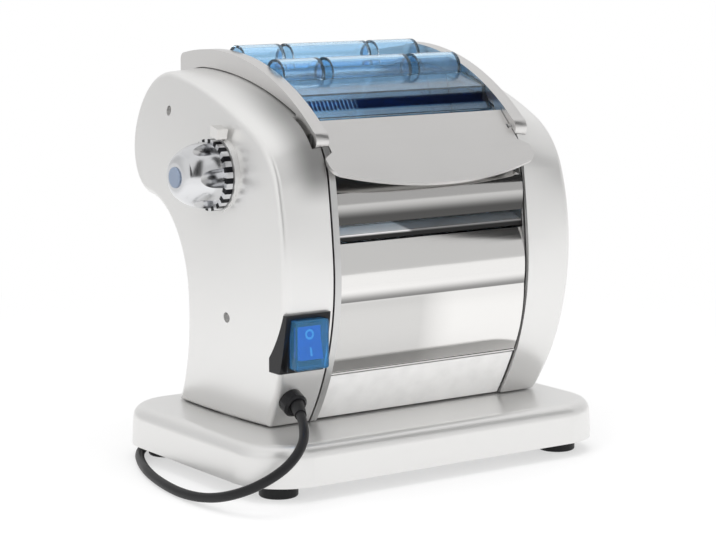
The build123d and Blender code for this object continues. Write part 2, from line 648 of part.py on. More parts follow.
# ---- side plates --------------------------------------------------------------------------------
def make_side_plate(x0, x1, setback, arm_gap, side):
    """Steel plate cut to the housings' outline, with bearing seats and foot tabs."""
    face = offset(FULL_FACE, -setback) if setback else FULL_FACE
    plate = along_x(face, x0, x1) + block(x0, x1, PLATE_FOOT[0] + 1, PLATE_FOOT[1] - 1, FLOOR, FLOOR + 8)
    plate &= block(x0 - PAST, x1 + PAST, -FAR, FAR, FLOOR, FAR)
    plate -= along_x(arm_front_face(arm_gap), x0 - 1, x1 + 1)
    plate -= block(x0 - PAST, x1 + PAST, FRONT_ROLLER_Y - CARRIAGE_FRONT - CARRIAGE_END_GAP,
                   FRONT_ROLLER_Y + CARRIAGE_BACK + NIP_TRAVEL + CARRIAGE_END_GAP,
                   ROLLER_HEIGHT - CARRIAGE_HALF_HEIGHT - RUNNING_CLEARANCE,
                   ROLLER_HEIGHT + CARRIAGE_HALF_HEIGHT + RUNNING_CLEARANCE)
    plate -= rod(x0 - 1, x1 + 1, ROLLER_GEAR_AXIS, BUSH_RADIUS + 0.02)
    for place in TIE_PLACES:
        plate -= rod(x0 - PAST, x1 + PAST, place, TIE_SHOULDER + TIE_FIT)
    if side < 0:
        plate = cut_gear_holes(plate)
    out = x0 if side < 0 else x1
    tip = out + side * TAB_LENGTH
    for y in (TAB_FRONT_Y, TAB_BACK_Y):
        tab = block(min(out, tip), max(out, tip), y - TAB_WIDTH / 2, y + TAB_WIDTH / 2, FLOOR,
                    FLOOR + TAB_THICKNESS)
        hole = Cylinder(TAB_SCREW_RADIUS + SLACK, 2 * BASE_SCREW_BORE)
        plate += tab - Pos(out + side * (TAB_LENGTH - TAB_SCREW_INSET), y, FLOOR) * hole
    housing = LEFT_HOUSING_OUT if side < 0 else RIGHT_HOUSING_OUT
    return plate + cover_posts(out, housing, -side)


def cut_gear_holes(plate):
    """Seats of the motor, its screws, the gear axles and the gear plate's posts."""
    x0 = LEFT_PLATE_OUT - 1
    x1 = PLATE_LEFT_FACE + 1
    plate -= rod(x0, x1, MOTOR_AXIS, MOTOR_SPIGOT + 0.05)
    for place in motor_screw_places():
        plate -= rod(x0, x1, place, MOTOR_SCREW_RADIUS + 0.1)
    for axis in (UPPER_AXIS, LOWER_AXIS):
        plate -= rod(x0, x1, axis, AXLE_RADIUS + 0.02)
    for place in GEAR_POSTS:
        plate -= rod(x0, x1, place, GEAR_POST_RADIUS - 1.5 + 0.02)
    return plate


def tab_places():
    left = LEFT_PLATE_OUT - TAB_LENGTH + TAB_SCREW_INSET
    right = RIGHT_PLATE_OUT + TAB_LENGTH - TAB_SCREW_INSET
    return [(x, y) for x in (left, right) for y in (TAB_FRONT_Y, TAB_BACK_Y)]


def base_screw(x, y, seat):
    """Pan-head screw driven down into the base; seat is the height under its head."""
    radius, height = BASE_SCREW_HEAD
    head = Pos(x, y, seat + PRESS) * upright(radius, height)
    shank = Pos(x, y, seat - BASE_SCREW_LENGTH) * upright(TAB_SCREW_RADIUS, BASE_SCREW_LENGTH + EMBED)
    return head + shank


def make_tie_rod(place):
    """Shouldered spacer rod between the side plates, its ends riveted in them."""
    middle = rod(PLATE_LEFT_FACE + SLACK, PLATE_RIGHT_FACE - SLACK, place, TIE_RADIUS)
    return middle + rod(LEFT_PLATE_OUT + TIE_INSET, RIGHT_PLATE_OUT - TIE_INSET, place, TIE_SHOULDER)


# ---- sheet-metal covers -------------------------------------------------------------------------
def cover_span():
    return PLATE_LEFT_FACE + COVER_END_GAP, PLATE_RIGHT_FACE - COVER_END_GAP


def make_upper_cover():
    """Folded cover under the chute: a slope that rolls over and drops to the exit."""
    foot = raised(UPPER_DROP)[-1]
    slope = ThreePointArc(*raised(UPPER_SLOPE))
    roll = ThreePointArc(*raised(UPPER_ROLL))
    drop = ThreePointArc(*raised(UPPER_DROP))
    hem = Line(foot, (UPPER_HEM[0], foot[1] + UPPER_HEM[1]))
    return sheet(Curve() + [slope, roll, drop, hem], SHEET, *cover_span())


def make_exit_slide():
    """Inclined plate that leads the rolled sheet from the nip to the exit."""
    start = (NIP_Y + SLIDE_PAST_NIP, ROLLER_HEIGHT - ROLLER_RADIUS - SLIDE_CLEARANCE)
    bend, lip = raised([SLIDE_BEND, (EXIT_Y, EXIT_LOW)])
    path = Polyline(start, bend, lip, (EXIT_Y, lip[1] - SLIDE_HEM))
    return sheet(path, SHEET, *cover_span())


def make_front_cover():
    """Bulged cover below the exit, bent inwards along its lower edge."""
    edge, lip = raised(FRONT_LIP_HEAD)
    height = lip[1] - FRONT_BEND[1]
    bulge, middle, lower = [(y, FRONT_BEND[1] + share * height)
                            for y, share in (FRONT_BULGE, FRONT_MIDDLE, FRONT_LOWER)]
    path = [Line(edge, lip), ThreePointArc(lip, bulge, middle),
            ThreePointArc(middle, lower, FRONT_BEND), Line(FRONT_BEND, FRONT_HEM)]
    return sheet(Curve() + path, -SHEET, *cover_span())


def make_lower_plate():
    """Plain plate from the front cover's edge down to the base."""
    edge, lip = LOWER_LIP
    foot, end = [(y, FLOOR + SHEET) for y in LOWER_FOOT]
    path = [Line(edge, lip), ThreePointArc(lip, LOWER_MIDDLE, foot), Line(foot, end)]
    return sheet(Curve() + path, -SHEET, *cover_span())


def make_rear_cover():
    """Sheet that closes the back between the plates and follows their outline."""
    ring = offset(FULL_FACE, -REAR_COVER_GAP) - offset(FULL_FACE, -REAR_COVER_GAP - SHEET)
    top = raised([REAR_COVER_TOP])[0]
    keep = Polyline((top[0], FAR), (FAR, FAR), (FAR, REAR_COVER_FOOT), (REAR_COVER_FRONT, REAR_COVER_FOOT),
                    *raised(REAR_COVER_KEEP), top, close=True)
    return along_x(ring & make_face(keep), *cover_span())


# ---- rollers ------------------------------------------------------------------------------------
def make_roller(centre, left_end, right_end):
    """Smooth steel roller with a journal at each end."""
    barrel = rod(PLATE_LEFT_FACE + ROLLER_END_GAP, PLATE_RIGHT_FACE - ROLLER_END_GAP, centre,
                 ROLLER_RADIUS)
    barrel = chamfer(barrel.edges(), 0.5)
    return barrel + rod(left_end, right_end, centre, JOURNAL_RADIUS)


def roller_bushes(centre):
    """Pair of flanged bushes, one in each side plate or carriage cheek."""
    bore = JOURNAL_RADIUS + RUNNING_CLEARANCE
    left = tube(LEFT_PLATE_OUT + 0.1, PLATE_LEFT_FACE + 0.05, centre, BUSH_RADIUS, bore)
    left += tube(PLATE_LEFT_FACE + 0.05, PLATE_LEFT_FACE + 0.05 + BUSH_FLANGE, centre,
                 BUSH_RADIUS + 2, bore)
    right = tube(PLATE_RIGHT_FACE - 0.05, RIGHT_PLATE_OUT - 0.1, centre, BUSH_RADIUS, bore)
    right += tube(PLATE_RIGHT_FACE - 0.05 - BUSH_FLANGE, PLATE_RIGHT_FACE - 0.05, centre,
                  BUSH_RADIUS + 2, bore)
    return [left, right]


def make_carriage():
    """Bearing carriage: a cheek in each side plate's slot, joined by a bar, and the fork."""
    carriage = rod(PLATE_LEFT_FACE - 1, PLATE_RIGHT_FACE + 1, CARRIAGE_BAR, CARRIAGE_BAR_RADIUS)
    for x0, x1 in ((LEFT_PLATE_OUT, PLATE_LEFT_FACE), (PLATE_RIGHT_FACE, RIGHT_PLATE_OUT)):
        cheek = block(x0, x1, FRONT_ROLLER_Y - CARRIAGE_FRONT, FRONT_ROLLER_Y + CARRIAGE_BACK,
                      ROLLER_HEIGHT - CARRIAGE_HALF_HEIGHT, ROLLER_HEIGHT + CARRIAGE_HALF_HEIGHT)
        carriage += cheek - rod(x0 - 1, x1 + 1, KNOB_AXIS, BUSH_RADIUS + 0.02)
    half_slot = ECCENTRIC_RADIUS + FORK_PLAY
    outer = half_slot + FORK_WALL
    centre_y = FRONT_ROLLER_Y - ECCENTRICITY
    fork = block(LEFT_PLATE_OUT - FORK_DEPTH, LEFT_PLATE_OUT, centre_y - outer, centre_y + outer,
                 ROLLER_HEIGHT - 9, ROLLER_HEIGHT + 9)
    fork -= block(LEFT_PLATE_OUT - FORK_DEPTH - 1, LEFT_PLATE_OUT - 1.2, centre_y - half_slot,
                  centre_y + half_slot, ROLLER_HEIGHT - 5.5, ROLLER_HEIGHT + 5.5)
    return carriage + fork


def make_front_scraper():
    """Bent blade that hangs from the carriage bar and wipes the front roller."""
    edge = polar(KNOB_AXIS, FRONT_SCRAPER_ANGLE, ROLLER_RADIUS + SCRAPER_GAP)
    bar_y = CARRIAGE_BAR[0] - CARRIAGE_BAR_RADIUS - SEAT_GAP
    path = [edge] + raised([FRONT_SCRAPER_BEND] + [(bar_y, above) for above in FRONT_SCRAPER_ON_BAR])
    return folded(path, SCRAPER_SHEET, *cover_span())


def make_rear_scraper():
    """Straight blade between the side plates that wipes the rear roller."""
    edge = polar(ROLLER_GEAR_AXIS, REAR_SCRAPER_ANGLE, ROLLER_RADIUS + SCRAPER_GAP)
    return folded([edge] + raised(REAR_SCRAPER_HEM), -SCRAPER_SHEET, *cover_span())


def gear(teeth, module, addendum, dedendum, x0, x1, centre, bore, phase):
    """Spur gear with straight-flanked teeth, slim enough to run with clear backlash."""
    pitch_radius = module * teeth / 2
    tip = pitch_radius + addendum * module
    root = pitch_radius - dedendum * module
    step = 2 * math.pi / teeth
    points = []
    for index in range(teeth):
        middle = math.radians(phase) + index * step
        for radius, share in ((root, -0.27), (tip, -0.11), (tip, 0.11), (root, 0.27)):
            angle = middle + share * step
            points.append((radius * math.cos(angle), radius * math.sin(angle)))
    face = make_face(Polyline(*points, close=True)) - Circle(bore)
    return along_x(Pos(*centre) * face, x0, x1)


def train_gear(teeth, x0, x1, centre, bore, phase):
    return gear(teeth, GEAR_MODULE, 0.75, 1.15, x0, x1, centre, bore, phase)


def sync_gear(centre, phase):
    """Long-toothed gear that keeps the rollers together while their spacing changes."""
    return gear(SYNC_TEETH, SYNC_MODULE, 0.6, 1.4, SYNC_GEAR_X, SYNC_GEAR_X + SYNC_GEAR_WIDTH,
                centre, JOURNAL_RADIUS + 0.02, phase)


def mesh_phase(axis_a, teeth_a, phase_a, axis_b, teeth_b):
    """Phase in degrees that puts a gap of gear b opposite a tooth of gear a."""
    direction = math.degrees(math.atan2(axis_b[1] - axis_a[1], axis_b[0] - axis_a[0]))
    turned = (direction - phase_a) * teeth_a / 360
    return direction + 180 + (turned % 1) * 360 / teeth_b + 180 / teeth_b


ROLLER_GEAR_PHASE = 0.0
UPPER_PHASE = mesh_phase(ROLLER_GEAR_AXIS, ROLLER_GEAR_TEETH, ROLLER_GEAR_PHASE,
                         UPPER_AXIS, UPPER_PINION_TEETH)
LOWER_PHASE = mesh_phase(UPPER_AXIS, UPPER_GEAR_TEETH, UPPER_PHASE, LOWER_AXIS, LOWER_PINION_TEETH)
MOTOR_PHASE = mesh_phase(LOWER_AXIS, LOWER_GEAR_TEETH, LOWER_PHASE, MOTOR_AXIS, MOTOR_PINION_TEETH)
FRONT_SYNC_PHASE = mesh_phase(ROLLER_GEAR_AXIS, SYNC_TEETH, 0.0, KNOB_AXIS, SYNC_TEETH)


def make_cluster(axis, phase, wheel_teeth, wheel_x, pinion_teeth, pinion_x):
    """Double gear: a large dished wheel and a small pinion that turn on a fixed axle."""
    bore = AXLE_RADIUS + RUNNING_CLEARANCE
    wheel = train_gear(wheel_teeth, wheel_x - GEAR_WIDTH, wheel_x, axis, bore, phase)
    dish = tube(wheel_x - GEAR_WIDTH - 1, wheel_x - GEAR_WIDTH + 1.5, axis,
                GEAR_MODULE * wheel_teeth / 2 - 5, 7.0)
    pinion = train_gear(pinion_teeth, wheel_x - 0.5, pinion_x, axis, bore, phase)
    return wheel - dish + pinion


def make_axle(axis):
    """Fixed pin from the left side plate to the gear plate."""
    return rod(GEAR_PLATE_X - GEAR_PLATE_THICKNESS + 0.2, PLATE_LEFT_FACE - 1.0, axis, AXLE_RADIUS)


def make_gear_plate():
    """Outer bearing plate of the gear train round its posts, trimmed to the housing's waist."""
    corners = [Vector(*place) for place in GEAR_POSTS]
    outline = offset(make_face(Polyline(*corners, close=True)), GEAR_PLATE_MARGIN)
    outline &= offset(OUTER_FACE, -HOUSING_WALL - 2)
    x0 = GEAR_PLATE_X - GEAR_PLATE_THICKNESS
    plate = along_x(outline, x0, GEAR_PLATE_X)
    for place in GEAR_POSTS:
        plate -= rod(x0 - 1, GEAR_PLATE_X + 1, place, GEAR_POST_SCREW + 0.1)
    for axis in (UPPER_AXIS, LOWER_AXIS):
        plate -= rod(x0 - 1, GEAR_PLATE_X + 1, axis, AXLE_RADIUS + 0.02)
    plate -= rod(x0 - 1, GEAR_PLATE_X + 1, HOUSING_SCREWS[1], COVER_POST_RADIUS + 1)
    return plate - rod(x0 - 1, GEAR_PLATE_X + 1, MOTOR_AXIS, MOTOR_SHAFT_RADIUS + RUNNING_CLEARANCE)


def make_gear_post(place):
    """Post of the gear plate, riveted into the side plate and tapped at its outer end."""
    post = rod(GEAR_PLATE_X, LEFT_PLATE_OUT, place, GEAR_POST_RADIUS)
    post += rod(LEFT_PLATE_OUT - 1, PLATE_LEFT_FACE - 0.5, place, GEAR_POST_RADIUS - 1.5)
    return post - rod(GEAR_PLATE_X - 1, GEAR_PLATE_X + 8, place, GEAR_POST_SCREW + 0.05)


def make_gear_plate_screw(place):
    out = GEAR_PLATE_X - GEAR_PLATE_THICKNESS
    return rod(out - 1.8, out - 0.02, place, 2.8) + rod(out - 0.5, GEAR_PLATE_X + 7, place,
                                                          GEAR_POST_SCREW)


# ---- motor --------------------------------------------------------------------------------------
def motor_screw_places():
    return [polar(MOTOR_AXIS, angle, MOTOR_RADIUS - 7) for angle in MOTOR_SCREW_ANGLES]


def make_motor_body():
    """Motor: a can with a slotted end bell and a spigot in the left plate."""
    x0 = PLATE_LEFT_FACE + 0.3
    can = rod(x0, x0 + MOTOR_LENGTH, MOTOR_AXIS, MOTOR_RADIUS)
    can = fillet(can.edges().sort_by(Axis.X)[-1], 4)
    can += rod(LEFT_PLATE_OUT + 0.5, x0, MOTOR_AXIS, MOTOR_SPIGOT)
    groove = tube(x0 + 22, x0 + 24, MOTOR_AXIS, MOTOR_RADIUS + 1, MOTOR_RADIUS - 1.5)
    can = can - groove - Pos(58, 0, 0) * groove
    for index in range(8):
        place = polar(MOTOR_AXIS, 45 * index, MOTOR_RADIUS - 12)
        can -= rod(x0 + MOTOR_LENGTH - 6, x0 + MOTOR_LENGTH + 1, place, 3.0)
    for place in motor_screw_places():
        can -= rod(x0 - 1, x0 + 12, place, MOTOR_SCREW_RADIUS + 0.05)
    bore = rod(LEFT_PLATE_OUT - 1, x0 + 15, MOTOR_AXIS, MOTOR_SHAFT_RADIUS + RUNNING_CLEARANCE)
    return can - bore


def make_motor_shaft():
    """Motor shaft with its pinion pressed on."""
    shaft_out = GEAR_PLATE_X - GEAR_PLATE_THICKNESS + 0.3
    shaft = rod(shaft_out, PLATE_LEFT_FACE + 14, MOTOR_AXIS, MOTOR_SHAFT_RADIUS)
    return shaft + train_gear(MOTOR_PINION_TEETH, LAYER_3 - GEAR_WIDTH - 0.5, LAYER_3 + 0.5,
                              MOTOR_AXIS, MOTOR_SHAFT_RADIUS - 1, MOTOR_PHASE)


def motor_screw(place):
    head = rod(LEFT_PLATE_OUT - 2.2, LEFT_PLATE_OUT - 0.02, place, 3.4)
    return head + rod(LEFT_PLATE_OUT - 0.5, PLATE_LEFT_FACE + 9, place, MOTOR_SCREW_RADIUS)


def cradle_feet():
    """Where the motor cradle's two feet stand, in X and Y."""
    x = PLATE_LEFT_FACE + MOTOR_LENGTH - CRADLE_FOOT_FROM_END
    half = MOTOR_RADIUS - CRADLE_FOOT_INSET
    return [(x, MOTOR_AXIS[0] - half), (x, MOTOR_AXIS[0] + half)]


def cradle_screw_places():
    return [(x + CRADLE_SCREW_ALONG, y) for x, y in cradle_feet()]


def make_motor_cradle():
    """Bracket under the motor's free end, with two bent feet on the base."""
    y, z = MOTOR_AXIS
    saddle = MOTOR_RADIUS + MOTOR_GAP
    notch = z - saddle - CRADLE_SADDLE
    narrow, wide = CRADLE_NOTCH
    reach = MOTOR_RADIUS + CRADLE_REACH
    x0 = cradle_feet()[0][0] - CRADLE_FOOT / 2
    face = Polyline((y - reach, FLOOR), (y - wide, FLOOR), (y - narrow, notch), (y + narrow, notch),
                    (y + wide, FLOOR), (y + reach, FLOOR), (y + reach, z), (y - reach, z), close=True)
    web = along_x(make_face(face) - Pos(y, z) * Circle(saddle), x0, x0 + CRADLE_THICKNESS)
    half = CRADLE_FOOT_WIDTH / 2
    for foot_x, foot_y in cradle_feet():
        web += block(x0, foot_x + CRADLE_FOOT / 2, foot_y - half, foot_y + half, FLOOR,
                     FLOOR + CRADLE_FOOT_THICKNESS)
    for screw_x, screw_y in cradle_screw_places():
        web -= Pos(screw_x, screw_y, FLOOR) * Cylinder(TAB_SCREW_RADIUS + SLACK, 2 * BASE_SCREW_BORE)
    return web


def make_capacitor():
    """Motor capacitor, a small can that stands out from the right side plate."""
    can = rod(RIGHT_PLATE_OUT, RIGHT_PLATE_OUT + CAPACITOR_LENGTH, CAPACITOR_PLACE, CAPACITOR_RADIUS)
    return fillet(can.edges().sort_by(Axis.X)[-1], 2)


# ---- thickness knob -----------------------------------------------------------------------------
def make_spindle():
    """Knob spindle: a riveted washer, the shaft, and the eccentric pin that moves the carriage."""
    shaft_end = LEFT_PLATE_OUT - FORK_DEPTH - 0.5
    spindle = rod(RETAINER_X - 2.0, shaft_end, KNOB_AXIS, SPINDLE_RADIUS)
    pin_centre = (FRONT_ROLLER_Y - ECCENTRICITY, ROLLER_HEIGHT)
    spindle += rod(RETAINER_X - 1.5, RETAINER_X, KNOB_AXIS, RETAINER_RADIUS)
    return spindle + rod(shaft_end - 1, LEFT_PLATE_OUT - 1.7, pin_centre, ECCENTRIC_RADIUS)


def make_spindle_bush():
    """Flanged bush of the spindle in the housing's dial pad."""
    bore = SPINDLE_RADIUS + RUNNING_CLEARANCE
    sleeve = tube(DIAL_PAD_X + 0.2, DIAL_PAD_X + 12, KNOB_AXIS, SPINDLE_BUSH_RADIUS - 0.02, bore)
    return sleeve + tube(DIAL_PAD_X + 5.7, DIAL_PAD_X + 7.2, KNOB_AXIS, SPINDLE_BUSH_RADIUS + 2.5, bore)


def make_knob():
    """Domed knob with scooped flutes, hollow for its return spring."""
    profile = [Line((KNOB_BACK, 0), (KNOB_BACK, KNOB_RING_RADIUS - 3)),
               Line((KNOB_BACK, KNOB_RING_RADIUS - 3), (KNOB_SKIRT, KNOB_RING_RADIUS - 3)),
               Line((KNOB_SKIRT, KNOB_RING_RADIUS - 3), (KNOB_SKIRT, KNOB_RADIUS)),
               ThreePointArc((KNOB_SKIRT, KNOB_RADIUS), (KNOB_SKIRT - 11, 20.8), (KNOB_TIP + 4, 15.5)),
               ThreePointArc((KNOB_TIP + 4, 15.5), (KNOB_TIP + 1, 12.6), (KNOB_TIP, 9.0)),
               Line((KNOB_TIP, 9.0), (KNOB_TIP, 0)),
               Line((KNOB_TIP, 0), (KNOB_BACK, 0))]
    dome = revolve(make_face(Curve() + profile), Axis.X)
    scoop = Pos(KNOB_SKIRT - 14, 0, KNOB_RADIUS + 2.6) * Rot(0, 90 + 13, 0)
    scoop = scoop * Cylinder(KNOB_FLUTE_RADIUS, 34)
    for index in range(KNOB_FLUTES):
        dome -= Rot(360 / KNOB_FLUTES * (index + 0.5), 0, 0) * scoop
    dome = Pos(0, *KNOB_AXIS) * dome
    dome -= rod(KNOB_TIP - 1, KNOB_BACK + 1, KNOB_AXIS, SPINDLE_RADIUS + RUNNING_CLEARANCE)
    return dome - rod(KNOB_TIP - 1, SPRING_SEAT, KNOB_AXIS, KNOB_CAP_RADIUS + 0.05)


def make_knob_cap():
    """Small domed cap that closes the knob's spring well."""
    cap = rod(KNOB_TIP - 1.4, KNOB_TIP + 2.2, KNOB_AXIS, KNOB_CAP_RADIUS)
    return fillet(cap.edges().sort_by(Axis.X)[0], 1.0)


def make_knob_ring():
    return tube(KNOB_SKIRT + 0.05, KNOB_BACK, KNOB_AXIS, KNOB_RING_RADIUS, KNOB_RING_RADIUS - 3 + 0.02)


def make_knob_spring():
    """Return spring between the knob's shoulder and the spindle's retaining washer."""
    length = SPRING_SEAT - RETAINER_X - 2 * SPRING_WIRE - 0.2
    path = Helix(length / SPRING_TURNS, length, SPRING_RADIUS)
    section = Plane(origin=path @ 0, z_dir=path % 0) * Circle(SPRING_WIRE)
    coil = sweep(section, path=path, is_frenet=True)
    return Pos(SPRING_SEAT - 0.1 - SPRING_WIRE, *KNOB_AXIS) * Rot(0, -90, 0) * coil


def make_pointer():
    """Pointer tab beside the dial, seated on the housing."""
    tab = Pos(DIAL_PAD_X - 1, 0, KNOB_RING_RADIUS + 5.5) * Box(8, POINTER_WIDTH, 7)
    tab = Pos(0, *KNOB_AXIS) * Rot(POINTER_ANGLE, 0, 0) * tab
    pad = rod(DIAL_PAD_X - 0.1, DIAL_PAD_X + 6, KNOB_AXIS, DIAL_PAD_RADIUS + 0.1)
    return tab - left_outside(0.1) - pad


# ---- hood arms and chute ------------------------------------------------------------------------
def arm_front_face(grow):
    """The hood arm's front stretch and round end, grown all round by a clearance."""
    band = Pos(*ARM_TOP_CENTRE) * Circle(ARM_TOP_RADIUS + grow)
    band -= Pos(*ARM_LOW_CENTRE) * Circle(ARM_LOW_RADIUS - grow)
    outward = Vector(*CHUTE_PIVOT) - Vector(*ARM_TOP_CENTRE)
    shoulder = Vector(*CHUTE_PIVOT) + outward.normalized() * (ARM_TOP_PAST_PIVOT + grow + ARM_THICKNESS)
    keep = Polyline(Vector(*CHUTE_PIVOT), shoulder, (ARM_SPLIT, FAR), (ARM_SPLIT, CHUTE_PIVOT[1]),
                    close=True)
    return (band & make_face(keep)) + Pos(*CHUTE_PIVOT) * Circle(ARM_END_RADIUS + grow)


def make_arm(x0, x1, side):
    """Curved arm that rests on a side plate and carries the chute at its round end."""
    rear = Pos(*ARM_TOP_CENTRE) * Circle(ARM_TOP_RADIUS)
    front = ARM_SPLIT - EMBED
    rear &= make_face(Polyline((front, ROLLER_HEIGHT), (ARM_BACK, ROLLER_HEIGHT), (ARM_BACK, FAR),
                               (front, FAR), close=True))
    rear -= offset(FULL_FACE, ARM_SEAT)
    rear = fillet(rear.vertices().sort_by(lambda v: v.Y + v.X)[-1], ARM_BACK_CORNER)
    arm = along_x(rear + arm_front_face(0), x0, x1)
    outer = x0 if side < 0 else x1
    arm -= rod(x0 - 1, x1 + 1, CHUTE_PIVOT, CHUTE_PIN_RADIUS + 0.02)
    return arm - rod(outer - side * ARM_RECESS, outer + side, CHUTE_PIVOT, ARM_RECESS_RADIUS)


def make_pivot_screw(x_out, side):
    """Shoulder screw through the arm's end; the chute turns on its inner end."""
    seat = x_out - side * ARM_RECESS
    top = x_out - side * 0.4
    end = x_out - side * (ARM_THICKNESS + CHUTE_SIDE_GAP + CHUTE_SHEET + 0.5)
    screw = rod(seat, top, CHUTE_PIVOT, ARM_RECESS_RADIUS - 0.3)
    screw += rod(seat, end, CHUTE_PIVOT, CHUTE_PIN_RADIUS)
    return screw - Pos(top, *CHUTE_PIVOT) * Box(1.6, 1.0, 2 * ARM_RECESS_RADIUS)


def chute_point(along, below):
    """(Y, Z) of a point of the chute: along its slope, and below its upper face."""
    angle = math.radians(CHUTE_SLOPE)
    y = CHUTE_TOP[0] - along * math.cos(angle) + below * math.sin(angle)
    z = CHUTE_TOP[1] - along * math.sin(angle) - below * math.cos(angle)
    return (y, z)


def make_chute():
    """Sheet chute with a curved lip, widened ears and folded side flanges."""
    angle = math.radians(CHUTE_SLOPE)
    plane = Plane(origin=(CHUTE_CENTRE_X, *CHUTE_TOP), x_dir=(1, 0, 0),
                  z_dir=(0, math.sin(angle), -math.cos(angle)))
    half = PLATE_GAP / 2 - CHUTE_SIDE_GAP
    ear = half + CHUTE_EAR
    ear_full = CHUTE_EAR_START + 5
    sides = [(ear, CHUTE_LENGTH_END), (ear, ear_full), (half, CHUTE_EAR_START), (half, 0),
             (-half, 0), (-half, CHUTE_EAR_START), (-ear, ear_full), (-ear, CHUTE_LENGTH_END)]
    lip = ThreePointArc((-ear, CHUTE_LENGTH_END), (0, CHUTE_LENGTH_MIDDLE), (ear, CHUTE_LENGTH_END))
    face = make_face(Curve() + [Polyline(*sides), lip])
    corners = [v for v in face.vertices() if abs(v.Y - CHUTE_LENGTH_END) < 0.1]
    face = fillet(corners, CHUTE_CORNER)
    chute = extrude(plane * face, CHUTE_SHEET)
    hem = (face - Pos(0, -CHUTE_HEM) * face) & Pos(0, 60) * Rectangle(2 * ear + 2, 60)
    chute += extrude(plane * hem, CHUTE_HEM_THICKNESS)
    flange = make_face(Polyline(chute_point(7, 0.4), chute_point(36, 0.4), chute_point(28, 4.5),
                                chute_point(15, 6.5), chute_point(9, 5), close=True))
    for x in (CHUTE_CENTRE_X - half, CHUTE_CENTRE_X + half - CHUTE_SHEET):
        chute += along_x(flange, x, x + CHUTE_SHEET)
        chute -= rod(x - 1, x + CHUTE_SHEET + 1, CHUTE_PIVOT, CHUTE_PIN_RADIUS + RUNNING_CLEARANCE)
    return chute


# ---- safety guard -------------------------------------------------------------------------------
def make_guard():
    """Moulded guard over the rollers: two rows of hollow ridges beside the feed mouth."""
    x0 = PLATE_LEFT_FACE + GUARD_END_GAP
    x1 = PLATE_RIGHT_FACE - GUARD_END_GAP
    front_y, front_z = FRONT_RIDGE
    back_y, back_z = BACK_RIDGE
    front_foot, back_foot = raised([(front_y, GUARD_MOUTH_LOW), (GUARD_MOUTH_BACK, GUARD_MOUTH_LOW)])
    front = raised(GUARD_LIP) + [(front_y - RIDGE_RADIUS, front_z - RIDGE_DROP),
                                 (front_y + RIDGE_RADIUS, front_z - RIDGE_DROP), front_foot]
    back = [back_foot, (back_y - RIDGE_RADIUS, back_z - RIDGE_DROP),
            (back_y + RIDGE_RADIUS, back_z - RIDGE_DROP)] + raised(GUARD_TAIL)
    guard = folded(front, -GUARD_WALL, x0, x1) + folded(back, -GUARD_WALL, x0, x1)
    side = front[:-1] + back[1:] + raised([GUARD_SIDE_LOW]) + [back_foot, front_foot]
    for x in (x0, x1 - GUARD_WALL):
        guard += along_x(make_face(Polyline(*side, close=True)), x, x + GUARD_WALL)
    for ridge_y, ridge_z in (FRONT_RIDGE, BACK_RIDGE):
        for span in RIDGE_SPANS:
            guard += make_ridge(ridge_y, ridge_z, *span)
    return guard


def make_ridge(y, z, x0, x1):
    """Hollow half-round ridge closed at both ends."""
    above = Pos(y, z - RIDGE_DROP - EMBED + RIDGE_RADIUS) * Rectangle(4 * RIDGE_RADIUS, 2 * RIDGE_RADIUS)
    outer = (Pos(y, z) * Circle(RIDGE_RADIUS)) & above
    inner = (Pos(y, z) * Circle(RIDGE_RADIUS - GUARD_WALL)) & Pos(0, RIDGE_INNER_LIFT) * above
    return along_x(outer, x0, x1) - along_x(inner, x0 + GUARD_WALL, x1 - GUARD_WALL)


# ---- switch -------------------------------------------------------------------------------------
def switch_box(width, height, y0, y1):
    return block(SWITCH_X - width / 2, SWITCH_X + width / 2, y0, y1, SWITCH_Z - height / 2,
                 SWITCH_Z + height / 2)


def make_switch_bezel():
    """Bezel that follows the housing's slope and turns the switch upright."""
    frame = housing_block(LEFT_HOUSING_IN, LEFT_HOUSING_OUT - BEZEL_THICKNESS, -BEZEL_THICKNESS,
                          CROWN_RADIUS + BEZEL_THICKNESS)
    frame &= switch_box(BEZEL_WIDTH, BEZEL_HEIGHT, *BEZEL_CUT)
    bezel = frame + switch_box(PEDESTAL_WIDTH, PEDESTAL_HEIGHT, PEDESTAL_FACE, PEDESTAL_BACK)
    bezel -= left_outside(0.1)
    bezel -= switch_box(SPLASH_WIDTH + 0.6, SPLASH_HEIGHT + 0.6, -90, PEDESTAL_FACE)
    return bezel - switch_box(SWITCH_BODY_WIDTH + 2 * SWITCH_CLEARANCE,
                              SWITCH_BODY_HEIGHT + 2 * SWITCH_CLEARANCE, -90, -40)


def make_switch_body():
    """Snap-in switch body with the rocker's well, its pin holes and two spade terminals."""
    body = switch_box(SWITCH_BODY_WIDTH, SWITCH_BODY_HEIGHT, PEDESTAL_FACE, SWITCH_BODY_BACK)
    body -= switch_box(ROCKER_WIDTH + 0.8, ROCKER_HEIGHT + 3.0, PEDESTAL_FACE - 1, -57)
    for z in (SWITCH_Z - 8, SWITCH_Z + 8):
        body += block(SWITCH_X - SPADE_WIDTH / 2, SWITCH_X + SPADE_WIDTH / 2,
                      SWITCH_BODY_BACK, SWITCH_BODY_BACK + SPADE_LENGTH,
                      z - SPADE_THICKNESS / 2, z + SPADE_THICKNESS / 2)
    x0 = SWITCH_X - SWITCH_BODY_WIDTH / 2
    return body - rod(x0 - 1, x0 + SWITCH_BODY_WIDTH + 1, (ROCKER_PIVOT_Y, SWITCH_Z),
                      ROCKER_PIN_RADIUS + RUNNING_CLEARANCE)


